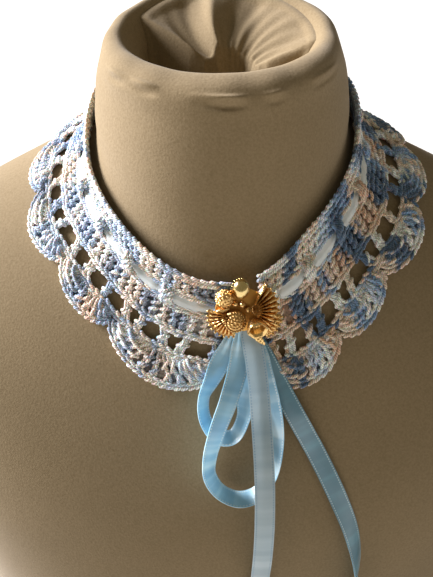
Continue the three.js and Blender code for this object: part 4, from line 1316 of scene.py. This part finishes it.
def shell(node, across, up, turn, radius, spread, ribs, deep):
    """A fan of ribs from a hinge, domed, with growth lines and a row of grains along its edge."""
    spread = math.radians(spread)
    share = np.linspace(0, 1, ribs * 8 + 1)[None, :]
    angle = spread * (share - 0.5)
    reach = np.linspace(0.1, 1, 28)[:, None]
    rib = 0.5 - 0.5 * np.cos(2 * math.pi * ribs * share)
    out = radius * reach * (1 - 0.07 * (1 - rib) * reach)
    z = deep * (1 - 0.72 * reach**2) * (0.66 + 0.34 * rib**0.7) + 0.5 + 0.1 * np.sin(reach * 26)
    fan = grid_piece(node + "_gilt", stacked(out * np.cos(angle), out * np.sin(angle), z)[::-1])
    outward(fan)
    apply_modifier(fan, "SOLIDIFY", thickness=SHELL_WALL * MM, offset=-1)
    edge_angles = spread * (np.arange(ribs) + 0.5 - ribs / 2) / ribs
    rim = radius - 0.2
    beads = [(rim * math.cos(a), rim * math.sin(a), deep * 0.28 + 1.0) for a in edge_angles]
    hinge = [(0.9, y, deep * 0.7) for y in (-0.9, 0, 0.9)]
    fan = join([fan, *grains(beads, EDGE_BEAD), *grains(hinge, HINGE_BEAD)])
    mount(fan, node, GILT, across, up, turn, sharp=60)


shell("brooch_shell_left", -5.4, -1.6, 222, radius=10, spread=124, ribs=10, deep=3.6)
shell("brooch_shell_right", 3.6, 1.0, 6, radius=12.6, spread=112, ribs=9, deep=5.4)
shell("brooch_shell_low", 8.0, -3.4, -34, radius=9.4, spread=84, ribs=6, deep=3)

# %% Seed disc, bell and leaf
def turned(name, profile, flute=0.0):
    """A turned shape from a profile of (radius, height) in mm, spun about the bench's Z. A flute widens its
    six corners by that share of the radius for each mm of height."""
    angle = np.linspace(0, 2 * math.pi, 49)[None, :]
    radius, height = np.array(profile, dtype=float).T[..., None]
    radius = radius * (1 + flute * np.cos(6 * angle) * height)
    points = stacked(radius * np.cos(angle), radius * np.sin(angle), height)
    piece = grid_piece(name, points, closed=True)
    outward(piece)
    return piece


disc_profile = [(0, 0), (4.7, 0), (4.9, 0.3), (4.9, 1.2), (4.5, 1.7), (4.0, 1.6), (3.4, 2.2), (2.4, 2.5),
                (0, 2.6)]
disc_spots = [*circle(4.2, 4.2, 1.8, 22), *circle(2.9, 2.9, 2.5, 14), *circle(1.6, 1.6, 2.8, 7), (0, 0, 3.0)]
disc = join([turned("disc_core", disc_profile), *grains(disc_spots, 1.15)])
mount(disc, "brooch_seed_disc", GRANULATED, -3.3, -4.4, lift=FIGURE_LIFT + 1.6, sharp=60)

bell_profile = [(0, 0), (2.0, 0), (2.4, 0.5), (3.0, 1.8), (3.15, 3.2), (3.5, 4.4), (3.3, 4.75), (2.9, 4.6),
                (2.3, 3.4), (2.0, 1.8), (1.2, 1.2), (0, 1.1)]
bell = join([turned("bell_cup", bell_profile, flute=0.05 / 4.6), *grains([(0, 0, 2.0)], 1.5)])
bell.scale = (1.3, 1.3, 1.2)
bell.rotation_euler = (math.radians(34), 0, math.radians(12))
mount(bell, "brooch_bell", GILT, 5.4, -4.8, lift=FIGURE_LIFT + 2.2, sharp=60)


def leaf_points():
    """A narrow blade folded along its midrib, with slanting veins, closed underneath."""
    along, around = bench_grid(0, 1, 41, 33)
    cos, sin = np.cos(around), np.sin(around)
    full = np.sin(math.pi * along**0.8) ** 0.8
    vein = 1 + 0.12 * np.cos(2 * math.pi * 7 * along + 3 * np.abs(cos))
    fold = 0.35 * full * bump_at(cos, 0, 0.25) * (sin > 0)
    return stacked(9 * (along - 0.5), 1.7 * full * cos, 1.2 + 1.1 * full * sin * vein - fold)


leaf = grid_piece("brooch_leaf_gilt", leaf_points(), closed=True)
outward(leaf)
mount(leaf, "brooch_leaf", GILT, 6.8, -12.6, turn=-49, sharp=60)

# %% [markdown]
# ## Floor and light
# The set is a plain pale floor and daylight from a large window at the upper left and a little behind, with
# a weak fill so that the shade on the right stays open.

# %% Studio
SUN_DIRECTION, SUN_STRENGTH, SUN_SPREAD = Vector((0.84, -0.273, -0.47)), 12.5, 26
FILL_COLOUR, FILL_STRENGTH = "FCF2D4", 0.215

deselect()
bpy.ops.mesh.primitive_plane_add(size=14)
floor = bpy.context.object
floor.name = "floor"
floor.data.materials.append(new_finish("matt_white_floor", Base_Color=colour("D2CFC9"), Roughness=0.9)[0])

window = bpy.data.objects.new("window", bpy.data.lights.new("window", "SUN"))
window.data.energy = SUN_STRENGTH
window.data.angle = math.radians(SUN_SPREAD)
window.data.color = colour("F9F9FF")[:3]
window.rotation_euler = SUN_DIRECTION.to_track_quat("-Z", "Y").to_euler()
bpy.context.collection.objects.link(window)
world = bpy.data.worlds.new("room")
bpy.context.scene.world = world
world.use_nodes = True
background = world.node_tree.nodes["Background"]
background.inputs["Color"].default_value = colour(FILL_COLOUR)
background.inputs["Strength"].default_value = FILL_STRENGTH
bpy.context.scene.view_settings.view_transform = "Standard"
